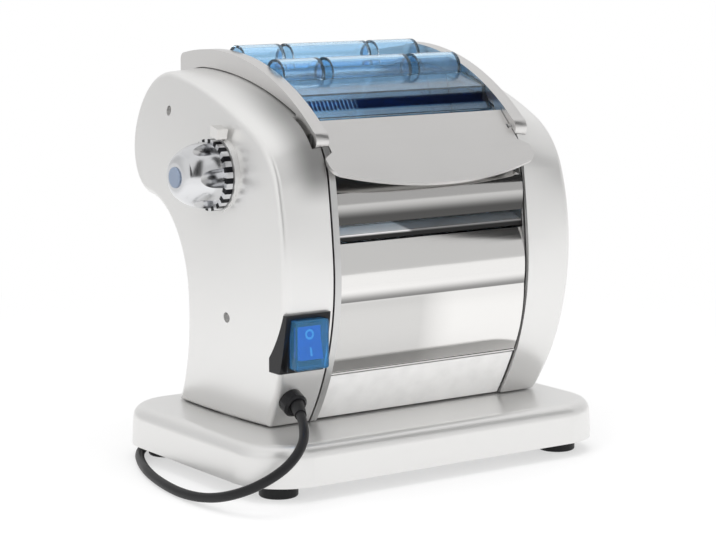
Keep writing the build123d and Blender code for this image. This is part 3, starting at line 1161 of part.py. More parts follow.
def make_rocker():
    """Rocker in its off position, on a pin across the switch body."""
    half = ROCKER_HEIGHT / 2
    depth = ROCKER_FACE - ROCKER_PIVOT_Y
    shape = Curve() + [ThreePointArc((depth, -half), (depth + 0.8, 0), (depth, half)),
                       Polyline((depth, half), (-2, half - 0.5), (3, 4), (3, -4), (-2, 0.5 - half),
                                (depth, -half))]
    width = ROCKER_WIDTH / 2
    rocker = along_x(make_face(shape), -width, width)
    rocker += rod(0.4 - SWITCH_BODY_WIDTH / 2, SWITCH_BODY_WIDTH / 2 - 0.4, (0, 0), ROCKER_PIN_RADIUS)
    return Pos(SWITCH_X, ROCKER_PIVOT_Y, SWITCH_Z) * Rot(-ROCKER_TILT, 0, 0) * rocker


def make_splash_cover():
    """Soft clear cap over the rocker, open towards the switch body."""
    cover = switch_box(SPLASH_WIDTH, SPLASH_HEIGHT, SPLASH_FACE, PEDESTAL_FACE - 0.05)
    cover = fillet(cover.edges().filter_by(Axis.Y) + cover.faces().sort_by(Axis.Y)[0].edges(), SPLASH_EDGE)
    return cover - switch_box(SPLASH_WIDTH - 2 * SPLASH_WALL, SPLASH_HEIGHT - 2 * SPLASH_WALL,
                              SPLASH_FACE + SPLASH_WALL, PEDESTAL_FACE + 1)


# ---- cord ---------------------------------------------------------------------------------------
def first_run():
    return (Vector(*CORD_ROUTE[1]) - Vector(*CORD_ROUTE[0])).normalized()


def relief_start():
    return Vector(*CORD_ROUTE[0]) - first_run() * RELIEF_LENGTH


def make_gland():
    """Screw gland: a knurled nut outside the wall and a threaded neck through it."""
    nut = gland_cylinder(GLAND_NUT_RADIUS, 0.4, 0.4 + GLAND_NUT_LENGTH)
    nut = chamfer(nut.edges().filter_by(GeomType.CIRCLE).sort_by(Axis.Y)[0], 1.6)
    nut -= left_outside(0.05)
    neck = gland_cylinder(GLAND_THREAD_RADIUS, -9, 2)
    socket = Pos(*relief_start()) * Sphere(RELIEF_RADIUS + 0.05)
    channel = Plane(origin=relief_start(), z_dir=first_run()) * Pos(0, 0, 10)
    return nut + neck - socket - channel * Cylinder(RELIEF_RADIUS + 0.05, 20)


def make_gland_nut():
    """Lock nut of the gland inside the housing."""
    nut = gland_frame() * Pos(0, 0, -7) * extrude(RegularPolygon(9.5, 6), 3)
    return nut - gland_cylinder(GLAND_THREAD_RADIUS + 0.03, -12, 2)


def make_strain_relief():
    """Tapered sleeve with a ball at its root, from the gland to where the cord is free."""
    frame = Plane(origin=relief_start(), z_dir=first_run())
    taper = Cone(RELIEF_RADIUS - 0.2, RELIEF_TIP, RELIEF_LENGTH,
                 align=(Align.CENTER, Align.CENTER, Align.MIN))
    return frame * taper + Pos(*relief_start()) * Sphere(RELIEF_RADIUS)


def corner_radii(points):
    """Radius at each corner of a route: as large as its two runs allow."""
    radii = []
    for before, here, after in zip(points, points[1:], points[2:]):
        run_in = Vector(*here) - Vector(*before)
        run_out = Vector(*after) - Vector(*here)
        half_turn = math.radians(run_in.get_angle(run_out)) / 2
        radii.append(0.45 * min(run_in.length, run_out.length) / math.tan(half_turn))
    return radii


def make_cord(points, name):
    """Round cord along straight runs joined by tangent arcs."""
    radii = corner_radii(points)
    path = FilletPolyline(*points, radius=radii)
    start = Vector(*points[1]) - Vector(*points[0])
    section = Plane(origin=points[0], z_dir=start) * Circle(CORD_DIAMETER / 2)
    cord = sweep(section, path=path)
    expected = math.pi * (CORD_DIAMETER / 2) ** 2 * path.length
    print(name, "length", round(path.length, 1), "volume ratio", round(cord.volume / expected, 5),
          "radii", [round(radius) for radius in radii])
    return cord


def make_coil():
    """The put-away turns of the cord, as one ring three turns wide and two turns high."""
    wide = COIL_TURNS_WIDE * CORD_DIAMETER
    high = COIL_TURNS_HIGH * CORD_DIAMETER
    corner = CORD_DIAMETER / 2 - 0.1
    ring = Pos(COIL_MIDDLE_RADIUS, high / 2 + COIL_LIFT) * RectangleRounded(wide, high, corner)
    coil = revolve(Plane.XZ * ring, Axis.Z)
    length = COIL_TURNS * 2 * math.pi * COIL_MIDDLE_RADIUS
    print("coil length", round(length, 1))
    return Pos(*COIL_CENTRE, 0) * coil


def plug_frame():
    """Level plane at the plug's cord end, its normal pointing along the plug."""
    end = Vector(*TAIL_ROUTE[-1])
    run = end - Vector(*TAIL_ROUTE[-2])
    return Plane(origin=end, x_dir=(-run.Y, run.X, 0), z_dir=(run.X, run.Y, 0))


def make_plug():
    """Flat two-pin mains plug lying on the table."""
    sections = [(0, 11, 11), (12, 15, 14), (24, PLUG_WIDTH, 2 * PLUG_HALF_HEIGHT),
                (PLUG_LENGTH, PLUG_WIDTH, 2 * PLUG_HALF_HEIGHT)]
    rings = [plug_frame() * Pos(0, 0, along) * RectangleRounded(wide, high, PLUG_CORNER)
             for along, wide, high in sections]
    return loft(rings, ruled=True)


def make_plug_pins():
    pins = []
    for side in (-0.5, 0.5):
        pin = Cylinder(PLUG_PIN_RADIUS, PLUG_PIN_LENGTH, align=(Align.CENTER, Align.CENTER, Align.MIN))
        pin = fillet(pin.edges().sort_by(Axis.Z)[-1], 1.2)
        pins.append(plug_frame() * Pos(side * PLUG_PIN_SPACING, 0, PLUG_LENGTH) * pin)
    return pins


# ---- the whole machine --------------------------------------------------------------------------
def write_base():
    write("base_tray", make_base_tray())
    write("base_feet", *[make_foot(x, y) for x, y in foot_places()])
    write("foot_screws", *[make_foot_screw(x, y) for x, y in foot_places()])


def write_frame():
    pocket_gap = ARM_SEAT + ARM_POCKET_WALL + 0.3
    write("left_side_plate", make_side_plate(LEFT_PLATE_OUT, PLATE_LEFT_FACE, 0, ARM_SEAT, -1))
    write("right_side_plate", make_side_plate(PLATE_RIGHT_FACE, RIGHT_PLATE_OUT, PLATE_SETBACK,
                                              pocket_gap, 1))
    write("tie_rods", *[make_tie_rod(place) for place in TIE_PLACES])
    seat = FLOOR + TAB_THICKNESS
    screws = [base_screw(x, y, seat) for x, y in tab_places()]
    screws += [base_screw(x, y, FLOOR + 2) for x, y in cradle_screw_places()]
    write("base_screws", *screws)


def write_housings():
    write("left_housing", make_left_housing())
    write("right_housing", make_right_housing())
    screws = [cover_screw(LEFT_HOUSING_OUT, 1, place) for place in HOUSING_SCREWS]
    screws += [cover_screw(RIGHT_HOUSING_OUT, -1, place) for place in HOUSING_SCREWS]
    write("cover_screws", *screws)


def write_covers():
    write("upper_front_cover", make_upper_cover())
    write("exit_slide", make_exit_slide())
    write("front_cover", make_front_cover())
    write("lower_front_plate", make_lower_plate())
    write("rear_cover", make_rear_cover())
    write("safety_guard", make_guard())


def write_hood():
    left_out = PLATE_LEFT_FACE - ARM_THICKNESS
    right_out = PLATE_RIGHT_FACE + ARM_THICKNESS
    write("left_hood_arm", make_arm(left_out, PLATE_LEFT_FACE, -1))
    write("right_hood_arm", make_arm(PLATE_RIGHT_FACE, right_out, 1))
    write("chute_pivot_screws", make_pivot_screw(left_out, -1), make_pivot_screw(right_out, 1))
    write("feed_chute", make_chute())


def write_rollers():
    write("roller_bushes", *roller_bushes(ROLLER_GEAR_AXIS))
    write("carriage_bushes", *roller_bushes(KNOB_AXIS))
    write("bearing_carriage", make_carriage())
    write("front_scraper", make_front_scraper())
    write("rear_scraper", make_rear_scraper())
    journal_end = SYNC_GEAR_X + SYNC_GEAR_WIDTH + 1.5
    write("front_roller", make_roller(KNOB_AXIS, LEFT_PLATE_OUT + 0.5, journal_end))
    write("rear_roller", make_roller(ROLLER_GEAR_AXIS, LAYER_1 - GEAR_WIDTH - 0.8, journal_end))
    write("front_sync_gear", sync_gear(KNOB_AXIS, FRONT_SYNC_PHASE))
    write("rear_sync_gear", sync_gear(ROLLER_GEAR_AXIS, 0.0))


def write_drive():
    write("roller_drive_gear", train_gear(ROLLER_GEAR_TEETH, LAYER_1 - GEAR_WIDTH, LAYER_1,
                                          ROLLER_GEAR_AXIS, JOURNAL_RADIUS + 0.02, ROLLER_GEAR_PHASE))
    write("upper_gear_cluster", make_cluster(UPPER_AXIS, UPPER_PHASE, UPPER_GEAR_TEETH, LAYER_2,
                                             UPPER_PINION_TEETH, LAYER_1))
    write("lower_gear_cluster", make_cluster(LOWER_AXIS, LOWER_PHASE, LOWER_GEAR_TEETH, LAYER_3,
                                             LOWER_PINION_TEETH, LAYER_2))
    write("motor_shaft", make_motor_shaft())
    write("gear_axles", make_axle(UPPER_AXIS), make_axle(LOWER_AXIS))
    write("gear_plate", make_gear_plate())
    write("gear_plate_posts", *[make_gear_post(place) for place in GEAR_POSTS])
    write("gear_plate_screws", *[make_gear_plate_screw(place) for place in GEAR_POSTS])
    write("motor_body", make_motor_body())
    write("motor_screws", *[motor_screw(place) for place in motor_screw_places()])
    write("motor_cradle", make_motor_cradle())
    write("motor_capacitor", make_capacitor())


def write_knob():
    write("adjuster_spindle", make_spindle())
    write("spindle_bush", make_spindle_bush())
    write("thickness_knob", make_knob())
    write("knob_cap", make_knob_cap())
    write("knob_ring", make_knob_ring())
    write("knob_spring", make_knob_spring())
    write("dial_pointer", make_pointer())


def write_switch():
    write("switch_bezel", make_switch_bezel())
    write("switch_body", make_switch_body())
    write("switch_rocker", make_rocker())
    write("switch_splash_cover", make_splash_cover())


def write_cord():
    write("cord_gland", make_gland())
    write("gland_lock_nut", make_gland_nut())
    write("strain_relief", make_strain_relief())
    write("cord_lead", make_cord(CORD_ROUTE, "lead"))
    write("cord_coil", make_coil())
    write("cord_tail", make_cord(TAIL_ROUTE, "tail"))
    write("mains_plug", make_plug())
    write("plug_pins", *make_plug_pins())


def main():
    os.makedirs("parts", exist_ok=True)
    write_base()
    write_frame()
    write_housings()
    write_covers()
    write_hood()
    write_rollers()
    write_drive()
    write_knob()
    write_switch()
    write_cord()


main()
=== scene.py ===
# %% [markdown]
# An electric pasta maker, dressed for a studio picture.  The frame brings every rigid
# piece in at its true size: housings, covers, rollers, gears, dial and switch.  This
# lesson gives those pieces their finishes, lays the mains cord and adds the small
# details that a solid model leaves out.

# %% Load the frame
import math
import bmesh
import bpy
import numpy as np
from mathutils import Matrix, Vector


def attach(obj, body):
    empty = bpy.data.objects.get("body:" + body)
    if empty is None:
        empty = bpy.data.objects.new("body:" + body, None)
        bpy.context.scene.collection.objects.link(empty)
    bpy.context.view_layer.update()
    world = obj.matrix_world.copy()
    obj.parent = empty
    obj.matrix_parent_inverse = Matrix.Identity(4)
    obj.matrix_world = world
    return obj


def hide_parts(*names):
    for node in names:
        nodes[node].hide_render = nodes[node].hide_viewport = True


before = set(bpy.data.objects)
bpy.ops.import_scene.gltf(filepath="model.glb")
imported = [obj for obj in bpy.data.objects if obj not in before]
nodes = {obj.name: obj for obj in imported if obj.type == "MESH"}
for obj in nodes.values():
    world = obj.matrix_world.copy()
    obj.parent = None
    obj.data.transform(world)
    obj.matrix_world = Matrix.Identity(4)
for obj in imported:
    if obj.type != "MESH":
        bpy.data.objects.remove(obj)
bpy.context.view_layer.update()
print("pieces in the frame:", len(nodes))

# %% [markdown]
# The picture is taken from the front left, a little above the machine, with a long
# lens.  A short lens close by would splay the edges of rollers and base; a long one far
# away keeps them nearly parallel.  The camera gets its place and its line of sight as
# two vectors, which is easier to change than three angles.

# %% Camera
CAMERA_PLACE = Vector((-0.92084, -1.31363, 0.37785))
SIGHT_LINE = Vector((0.5656, 0.8104, -0.1533))
LENS = 117.3
SENSOR_WIDTH = 36.0


def link_object(name, data):
    """A new object at the origin, in the scene's own collection."""
    made = bpy.data.objects.new(name, data)
    bpy.context.scene.collection.objects.link(made)
    return made


camera = link_object("studio_camera", bpy.data.cameras.new("studio_camera"))
camera.data.lens = LENS
camera.data.sensor_width = SENSOR_WIDTH
camera.location = CAMERA_PLACE
camera.rotation_euler = SIGHT_LINE.to_track_quat("-Z", "Y").to_euler()
bpy.context.scene.camera = camera
print("camera stands", round(CAMERA_PLACE.length, 2), "m from the origin")

# %% [markdown]
# A mains cord is a round rubber tube of fixed length.  It drops from its strain
# relief to the table, swings round the base and lies behind the machine in five
# turns, three side by side and two high, as a cord is put away.  It could be simulated
# as a chain, but a smooth spline through a few chosen points lies just as well and is
# the same on every run.  The turns are more points of that spline, worked out from the
# radius and height of each turn.

# %% Cord route
CORD_DIAMETER = 0.0064
LEAD = [(-102.1, -75.4, 52.0), (-110.6, -93.0, 48.4), (-122.4, -109.0, 41.0),
        (-139.4, -117.5, 31.0), (-156.6, -112.6, 20.8), (-167.2, -95.5, 12.0),
        (-171.8, -72.5, 6.0), (-173.2, -45.0, 3.4), (-170.4, -15.0, 3.3),
        (-162.8, 18.0, 3.3), (-151.2, 49.0, 3.3), (-137.5, 75.5, 3.3),
        (-117.0, 96.5, 3.3), (-88.0, 108.0, 3.3), (-56.0, 111.8, 3.3),
        (-24.6, 111.0, 3.3)]
TAIL = [(20.6, 111.0, 9.3), (33.5, 112.6, 6.4), (47.2, 118.0, 6.4), (58.6, 126.6, 9.1)]
COIL_CENTRE = (-2.0, 150.0)
TURN_RADII = (39.2, 32.8, 26.4, 26.4, 32.8, 39.2)
TURN_HEIGHTS = (3.3, 3.3, 3.3, 9.7, 9.7, 9.7)
COIL_TURNS = 5
POINTS_PER_TURN = 24
CHANGE = 0.11
FIRST_CHANGE = 0.95
START_TURN = 0.25


def coil_points():
    """Points on a circle whose radius and height step from one lane to the next.

    Angle = 360 degrees times the turn, less START_TURN.  Each step happens in a short
    window of CHANGE turns, and every window lies a little earlier in its turn than the
    one before, so that the cord climbs into an empty place and never through itself.
    The radius is a little larger than the lane's, because the spline runs inside its
    control points."""
    turn = np.arange(COIL_TURNS * POINTS_PER_TURN + 1) / POINTS_PER_TURN
    marks, radii, heights = [0.0], [TURN_RADII[0]], [TURN_HEIGHTS[0]]
    for step in range(COIL_TURNS):
        end = step + FIRST_CHANGE - step * CHANGE
        marks += [end - CHANGE, end]
        radii += TURN_RADII[step:step + 2]
        heights += TURN_HEIGHTS[step:step + 2]
    outward = 4 / (3 + math.cos(2 * math.pi / POINTS_PER_TURN))
    radius = outward * np.interp(turn, marks, radii)
    angle = 2 * np.pi * (turn - START_TURN)
    return np.column_stack((COIL_CENTRE[0] + radius * np.cos(angle),
                            COIL_CENTRE[1] + radius * np.sin(angle),
                            np.interp(turn, marks, heights)))


route = np.vstack((LEAD, coil_points(), TAIL)) / 1000
print("control points of the cord:", len(route))

# %% [markdown]
# The tube is the spline's own bevel: a unit circle carried along it, scaled at every
# point by that point's radius, which is half the cord's diameter.  A mesh swept along
# the line would do too, but the spline stays one smooth curve of known length.  Order 3
# keeps it inside the corners of its control points, and the end points are kept, so
# the cord starts in its strain relief.

# %% Cord
cord_data = bpy.data.curves.new("power_cord", "CURVE")
cord_data.dimensions = "3D"
cord_data.bevel_depth = 1.0
cord_data.bevel_resolution = 4
cord_data.resolution_u = 6
spline = cord_data.splines.new("NURBS")
spline.points.add(len(route) - 1)
spline.points.foreach_set("co", np.column_stack((route, np.ones(len(route)))).ravel())
spline.points.foreach_set("radius", np.full(len(route), CORD_DIAMETER / 2))
spline.order_u = 3
spline.use_endpoint_u = True
cord = link_object("power_cord", cord_data)
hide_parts("cord_lead", "cord_coil", "cord_tail")
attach(cord, "frame_body")

# %% [markdown]
# Every finish starts from the same Principled shader, whose fixed values are set on its
# own sockets.  What varies over a surface comes from shader nodes.  Written out one by
# one they hide what they do, so four helpers make the usual ones: a new node, a value
# fed to a socket, one sum, and one smooth ramp.


# %% Node helpers
def add(tree, kind, **settings):
    """A new node of a kind, with its settings."""
    node = tree.nodes.new(kind)
    for key, value in settings.items():
        setattr(node, key, value)
    return node


def feed(tree, term, slot):
    """Join a socket to a slot, or write a number or a colour into it."""
    if isinstance(term, bpy.types.NodeSocket):
        tree.links.new(term, slot)
    else:
        slot.default_value = term


def reckon(tree, operation, *terms, **settings):
    """One Math node: each term is a socket or a number."""
    node = add(tree, "ShaderNodeMath", operation=operation, **settings)
    for term, slot in zip(terms, node.inputs):
        feed(tree, term, slot)
    return node.outputs[0]


def ramp(tree, source, low, high, start=0.0, end=1.0):
    """A smooth ramp: start where the source is at low, end where it is at high."""
    node = add(tree, "ShaderNodeMapRange", interpolation_type="SMOOTHSTEP")
    limits = {"Value": source, "From Min": low, "From Max": high, "To Min": start, "To Max": end}
    for name, term in limits.items():
        feed(tree, term, node.inputs[name])
    return node.outputs["Result"]


print("node helpers ready")

# %% [markdown]
# Patterns on the pieces follow the point of the surface, measured in metres in the
# machine's own space.  UV maps would need unwrapping for sixty pieces; the point itself
# needs nothing, and it moves with its piece.  Colours are scaled and mixed by masks.


# %% Pattern helpers
def object_place(tree):
    """The surface point in metres."""
    return add(tree, "ShaderNodeTexCoord").outputs["Object"]


def object_axes(tree):
    """The X, Y and Z of the surface point, as three sockets."""
    split = add(tree, "ShaderNodeSeparateXYZ")
    feed(tree, object_place(tree), split.inputs[0])
    return split.outputs["X"], split.outputs["Y"], split.outputs["Z"]


def noise(tree, place, scale, detail=2.0):
    """A cloudy value between 0 and 1 that lies about a half."""
    node = add(tree, "ShaderNodeTexNoise")
    for name, term in (("Vector", place), ("Scale", scale), ("Detail", detail)):
        feed(tree, term, node.inputs[name])
    return node.outputs["Fac"]


def scale_colour(tree, colour, factor):
    """A colour times a number."""
    node = add(tree, "ShaderNodeVectorMath", operation="SCALE")
    feed(tree, colour, node.inputs[0])
    feed(tree, factor, node.inputs["Scale"])
    return node.outputs[0]


def mix_colours(tree, mask, first, second):
    """The first colour where the mask is 0, the second where it is 1."""
    node = add(tree, "ShaderNodeMix", data_type="RGBA")
    for name, term in (("Factor", mask), ("A", first), ("B", second)):
        feed(tree, term, node.inputs[name])
    return node.outputs["Result"]


print("pattern helpers ready")

# %% [markdown]
# A finish is a material with one Principled shader.  Its pattern is a node group that
# several finishes share, placed in each with its own values, so that a change of the
# grain changes every paint at once.


# %% Finish helpers
def new_material(name, **values):
    """A material with one Principled shader; each keyword is one of its sockets."""
    made = bpy.data.materials.new(name)
    made.use_nodes = True
    shader = made.node_tree.nodes["Principled BSDF"]
    for socket, value in values.items():
        shader.inputs[socket.replace("_", " ")].default_value = value
    return made


def place_group(made, group, **values):
    """Put a shared group into a material, set its inputs and join its outputs to the shader."""
    tree = made.node_tree
    node = add(tree, "ShaderNodeGroup", node_tree=group)
    for socket, value in values.items():
        node.inputs[socket.replace("_", " ")].default_value = value
    shader = tree.nodes["Principled BSDF"]
    for output in node.outputs:
        tree.links.new(output, shader.inputs[output.name])
    return node.outputs["Base Color"]


def colour_with(made, colour):
    """Give the shader a base colour that varies, or a plain one."""
    feed(made.node_tree, colour, made.node_tree.nodes["Principled BSDF"].inputs["Base Color"])


def dress(made, *names):
    """Give a finish to nodes of the frame."""
    for name in names:
        data = nodes[name].data
        data.materials.clear()
        data.materials.append(made)


print("finish helpers ready")

# %% [markdown]
# Both shared groups take a colour and some numbers, and put out a base colour, a
# roughness and a normal.  The frame of such a group is made here once.


# %% Group helpers
def new_group(name, **numbers):
    """An empty group, with the sockets that it is given and the sockets that it has to fill."""
    group = bpy.data.node_groups.new(name, "ShaderNodeTree")
    face = group.interface
    face.new_socket("Colour", in_out="INPUT", socket_type="NodeSocketColor")
    for title, value in numbers.items():
        socket = face.new_socket(title.replace("_", " "), in_out="INPUT", socket_type="NodeSocketFloat")
        socket.default_value = value
    for title, kind in (("Base Color", "Color"), ("Roughness", "Float"), ("Normal", "Vector")):
        face.new_socket(title, in_out="OUTPUT", socket_type="NodeSocket" + kind)
    return group, add(group, "NodeGroupInput").outputs, add(group, "NodeGroupOutput").inputs


def raised(tree, height, strength, distance):
    """The normal of a surface that a height between 0 and 1 lifts by up to a distance."""
    bump = add(tree, "ShaderNodeBump")
    for name, term in (("Height", height), ("Strength", strength), ("Distance", distance)):
        feed(tree, term, bump.inputs[name])
    return bump.outputs["Normal"]


print("group helpers ready")

# %% [markdown]
# Paint, plastic and rubber share one kind of unevenness: a fine grain that scatters
# the highlight, and wide faint clouds where hands and cloths have been.  One noise
# can't be both, so the group has two at two sizes.  The fine one tilts the surface a
# little, the wide one changes colour and roughness.

# %% Grain group
GRAIN_HEIGHT = 0.0002
CLOUD_DETAIL = 4.0
CLOUD_ON_ROUGHNESS = 1.5


def make_grain():
    """Colour times (1 + cloud), roughness + CLOUD_ON_ROUGHNESS times cloud, grain as a bump."""
    group, given, wanted = new_group("grain", Roughness=0.4, Grain_Size=2500.0, Grain_Depth=0.1,
                                     Cloud_Size=18.0, Cloud_Depth=0.05)
    place = object_place(group)
    wide = noise(group, place, given["Cloud Size"], CLOUD_DETAIL)
    cloud = reckon(group, "MULTIPLY", reckon(group, "SUBTRACT", wide, 0.5), given["Cloud Depth"])
    colour = scale_colour(group, given["Colour"], reckon(group, "ADD", cloud, 1.0))
    rough = reckon(group, "MULTIPLY_ADD", cloud, CLOUD_ON_ROUGHNESS, given["Roughness"],
                   use_clamp=True)
    fine = noise(group, place, given["Grain Size"])
    feed(group, colour, wanted["Base Color"])
    feed(group, rough, wanted["Roughness"])
    feed(group, raised(group, fine, given["Grain Depth"], GRAIN_HEIGHT), wanted["Normal"])
    return group


GRAIN = make_grain()
print("grain group has", len(GRAIN.nodes), "nodes")

# %% [markdown]
# Rolled and brushed sheet has fine lines along the rollers.  An anisotropic shader
# blurs the highlight but shows no lines.  Stretching the space before a noise draws it
# out into real ones, long in X and fine across, so the group does that.

# %% Brushed group
LINE_STRETCH = (20.0, 1500.0, 1500.0)
LINE_DETAIL = 3.0
LINE_HEIGHT = 0.0001
SHEET_CLOUD_SIZE = 14.0


def make_brushed():
    """Colour times (1 + cloud), roughness + change times lines, the lines also as a bump."""
    group, given, wanted = new_group("brushed", Roughness=0.3, Roughness_Change=0.12,
                                     Line_Depth=0.15, Cloud_Depth=0.06)
    place = object_place(group)
    drawn = add(group, "ShaderNodeVectorMath", operation="MULTIPLY")
    feed(group, place, drawn.inputs[0])
    feed(group, LINE_STRETCH, drawn.inputs[1])
    lines = noise(group, drawn.outputs[0], 1.0, LINE_DETAIL)
    wide = noise(group, place, SHEET_CLOUD_SIZE)
    cloud = reckon(group, "MULTIPLY_ADD", reckon(group, "SUBTRACT", wide, 0.5),
                   given["Cloud Depth"], 1.0)
    change = reckon(group, "MULTIPLY", lines, given["Roughness Change"])
    rough = reckon(group, "ADD", change, given["Roughness"], use_clamp=True)
    feed(group, scale_colour(group, given["Colour"], cloud), wanted["Base Color"])
    feed(group, rough, wanted["Roughness"])
    feed(group, raised(group, lines, given["Line Depth"], LINE_HEIGHT), wanted["Normal"])
    return group


BRUSHED = make_brushed()
print("brushed group has", len(BRUSHED.nodes), "nodes")

# %% [markdown]
# Housings and base are sprayed with a satin silver paint: fine metal flakes under a
# dull clear coat.  A full metal would mirror the studio too clearly and a plain grey
# would look dead, so the shader stands between the two.  Beside the arm, the gear
# housing's crown has a painted shade, standing for a dark part of the room that it
# would mirror.  A panel there would also darken the arm, so a mask on the crown paints
# that shade into its colour alone.

# %% Silver paint
PAINT_SHADER = dict(Metallic=0.72, Coat_Weight=0.10, Coat_Roughness=0.30)
PAINT = dict(Colour=(0.775, 0.77, 0.76, 1), Roughness=0.31, Grain_Size=1800.0, Grain_Depth=0.006,
             Cloud_Size=9.0, Cloud_Depth=0.03)
CROWN_SIDE = (-0.104, -0.080)
CROWN_RISE = (0.184, 0.206)
CROWN_FRONT = (0.050, -0.030)
CROWN_PAINTED_SHADE = -0.62

silver_paint = new_material("silver_paint", **PAINT_SHADER)
place_group(silver_paint, GRAIN, **PAINT)
dress(silver_paint, "right_housing", "base_tray")
shaded_paint = new_material("shaded_paint", **PAINT_SHADER)
paint_colour = place_group(shaded_paint, GRAIN, **PAINT)
tree = shaded_paint.node_tree
x, y, z = object_axes(tree)
# Painted shade: a mask beside the arm darkens the crown's colour.
painted_crown_shade = reckon(tree, "MULTIPLY", ramp(tree, x, *CROWN_SIDE), ramp(tree, z, *CROWN_RISE))
painted_crown_shade = reckon(tree, "MULTIPLY", painted_crown_shade, ramp(tree, y, *CROWN_FRONT))
shade = reckon(tree, "MULTIPLY_ADD", painted_crown_shade, CROWN_PAINTED_SHADE, 1.0)
colour_with(shaded_paint, scale_colour(tree, paint_colour, shade))
dress(shaded_paint, "left_housing")
print("silver paint on three pieces")

# %% [markdown]
# The tray's stiffening ribs reach its rounded edge, and their corners stand a little
# proud of it, which shows as bright specks on the paint.  A painter files such corners
# flush.  A material can't hide them, so the tray seen here is the same mesh with those
# corners drawn back to the round of the edge.  The mesh comes in as loose triangles, so
# a weld joins the copy.

# %% Flush ribs
RIB_CORNER = np.array((0.0965, 0.0350))
FLUSH_CORNER = np.array((0.09588, 0.03439))
TOUCH = 1e-5
SAME_PLACE = 1e-6

tray_mesh = nodes["base_tray"].data.copy()
points = np.empty(3 * len(tray_mesh.vertices))
tray_mesh.vertices.foreach_get("co", points)
points = points.reshape(-1, 3)
at_side = np.abs(np.abs(points[:, 1]) - RIB_CORNER[0]) < TOUCH
proud = at_side & (np.abs(points[:, 2] - RIB_CORNER[1]) < TOUCH)
points[proud, 1] = np.sign(points[proud, 1]) * FLUSH_CORNER[0]
points[proud, 2] = FLUSH_CORNER[1]
tray_mesh.vertices.foreach_set("co", points.ravel())
tray_mesh.update()
tray = link_object("painted_tray", tray_mesh)
weld = tray.modifiers.new("join", "WELD")
weld.merge_threshold = SAME_PLACE
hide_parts("base_tray")
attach(tray, "frame_body")
print("corners drawn back:", int(proud.sum()))

# %% [markdown]
# The covers between the side plates are chromed sheet, polished like a mirror.  Chrome
# is a full metal with little roughness, and only faint lines are left of the rolling.

# %% Polished chrome
CHROME = dict(Colour=(0.86, 0.85, 0.835, 1), Roughness=0.05, Roughness_Change=0.08,
              Line_Depth=0.02, Cloud_Depth=0.03)

chrome = new_material("polished_chrome", Metallic=1.0)
place_group(chrome, BRUSHED, **CHROME)
dress(chrome, "rear_cover", "dial_pointer")
print("polished chrome on the rear cover and the dial's pointer")

# %% [markdown]
# The front cover has a fold across its middle.  Above the fold the sheet leans back and
# mirrors something dark; below it, the left part is greyer than the right.  Dark panels
# in the room would show on every other mirror too, so these reflections are painted:
# shades put into the cover's colour as masks on height and width.

# %% Front cover
FOLD_HEIGHT = 0.1208
FOLD_LINE = (FOLD_HEIGHT - 0.0006, FOLD_HEIGHT + 0.0004)
FOLD_FADE = (FOLD_HEIGHT + 0.0004, FOLD_HEIGHT + 0.0075)
FOLD_SHADE = 0.30
LOWER_EDGE = (FOLD_HEIGHT - 0.002, FOLD_HEIGHT + 0.002)
LOWER_SHADE = 0.74
TO_THE_RIGHT = (-0.065, 0.035)

front_chrome = new_material("front_chrome", Metallic=1.0)
sheet_colour = place_group(front_chrome, BRUSHED, **CHROME)
tree = front_chrome.node_tree
x, y, z = object_axes(tree)
# Painted reflection: a dark band just above the fold and a greyer lower left.
fold = reckon(tree, "MAXIMUM", ramp(tree, z, *FOLD_FADE, FOLD_SHADE, 1.0),
              ramp(tree, z, *FOLD_LINE, 1.0, 0.0))
lower = reckon(tree, "MAXIMUM", ramp(tree, z, *LOWER_EDGE, LOWER_SHADE, 1.0),
               ramp(tree, x, *TO_THE_RIGHT))
shade = reckon(tree, "MULTIPLY", fold, lower)
colour_with(front_chrome, scale_colour(tree, sheet_colour, shade))
dress(front_chrome, "front_cover")
print("front cover shaded about its fold at", round(1000 * FOLD_HEIGHT, 1), "mm")

# %% [markdown]
# The cover under the chute is rolled inwards at its foot, where the light doesn't
# reach.  That dark lower edge is painted shade in the sheet's colour, which brightens
# above it.

# %% Rolled cover
ROLL_FADE = (0.1760, 0.1850)
ROLL_SHADES = (0.10, 0.66)

roll_chrome = new_material("roll_chrome", Metallic=1.0)
sheet_colour = place_group(roll_chrome, BRUSHED, **CHROME)
tree = roll_chrome.node_tree
x, y, z = object_axes(tree)
# Painted shade: the foot of the sheet is darkened in its colour.
shade = ramp(tree, z, *ROLL_FADE, *ROLL_SHADES)
colour_with(roll_chrome, scale_colour(tree, sheet_colour, shade))
dress(roll_chrome, "upper_front_cover")
print("upper cover dark below", round(1000 * ROLL_FADE[0], 1), "mm")

# %% [markdown]
# The slide that leads the dough out is satin steel, half in the shadow of the covers.
# That shadow is painted into its colour: the dark part begins along a slanted line, where
# a sum of X and Z reaches a value, and a painted shade darkens its foot too.

# %% Exit slide
SLANT = 1.2
SHADOW_LINE = (0.190, 0.194)
SHADOW_SHADE = 0.28
SLIDE_FOOT = (0.1632, 0.1650)

slide_steel = new_material("slide_steel", Metallic=0.30)
sheet_colour = place_group(slide_steel, BRUSHED, Colour=(0.78, 0.775, 0.77, 1), Roughness=0.30)
tree = slide_steel.node_tree
x, y, z = object_axes(tree)
# Painted shadow along a slanted line, and painted shade at the foot.
shadow = ramp(tree, reckon(tree, "MULTIPLY_ADD", z, SLANT, x), *SHADOW_LINE, 1.0, SHADOW_SHADE)
shade = reckon(tree, "MULTIPLY", shadow, ramp(tree, z, *SLIDE_FOOT))
colour_with(slide_steel, scale_colour(tree, sheet_colour, shade))
dress(slide_steel, "exit_slide")
print("exit slide half in shadow")

# %% [markdown]
# The chute, the arms and the scrapers have a satin finish with lines along the sheet.
# The rollers, gears and shafts inside are ground steel, smoother and a little bluer.
# Both are full metals and differ in roughness and in the depth of their lines.

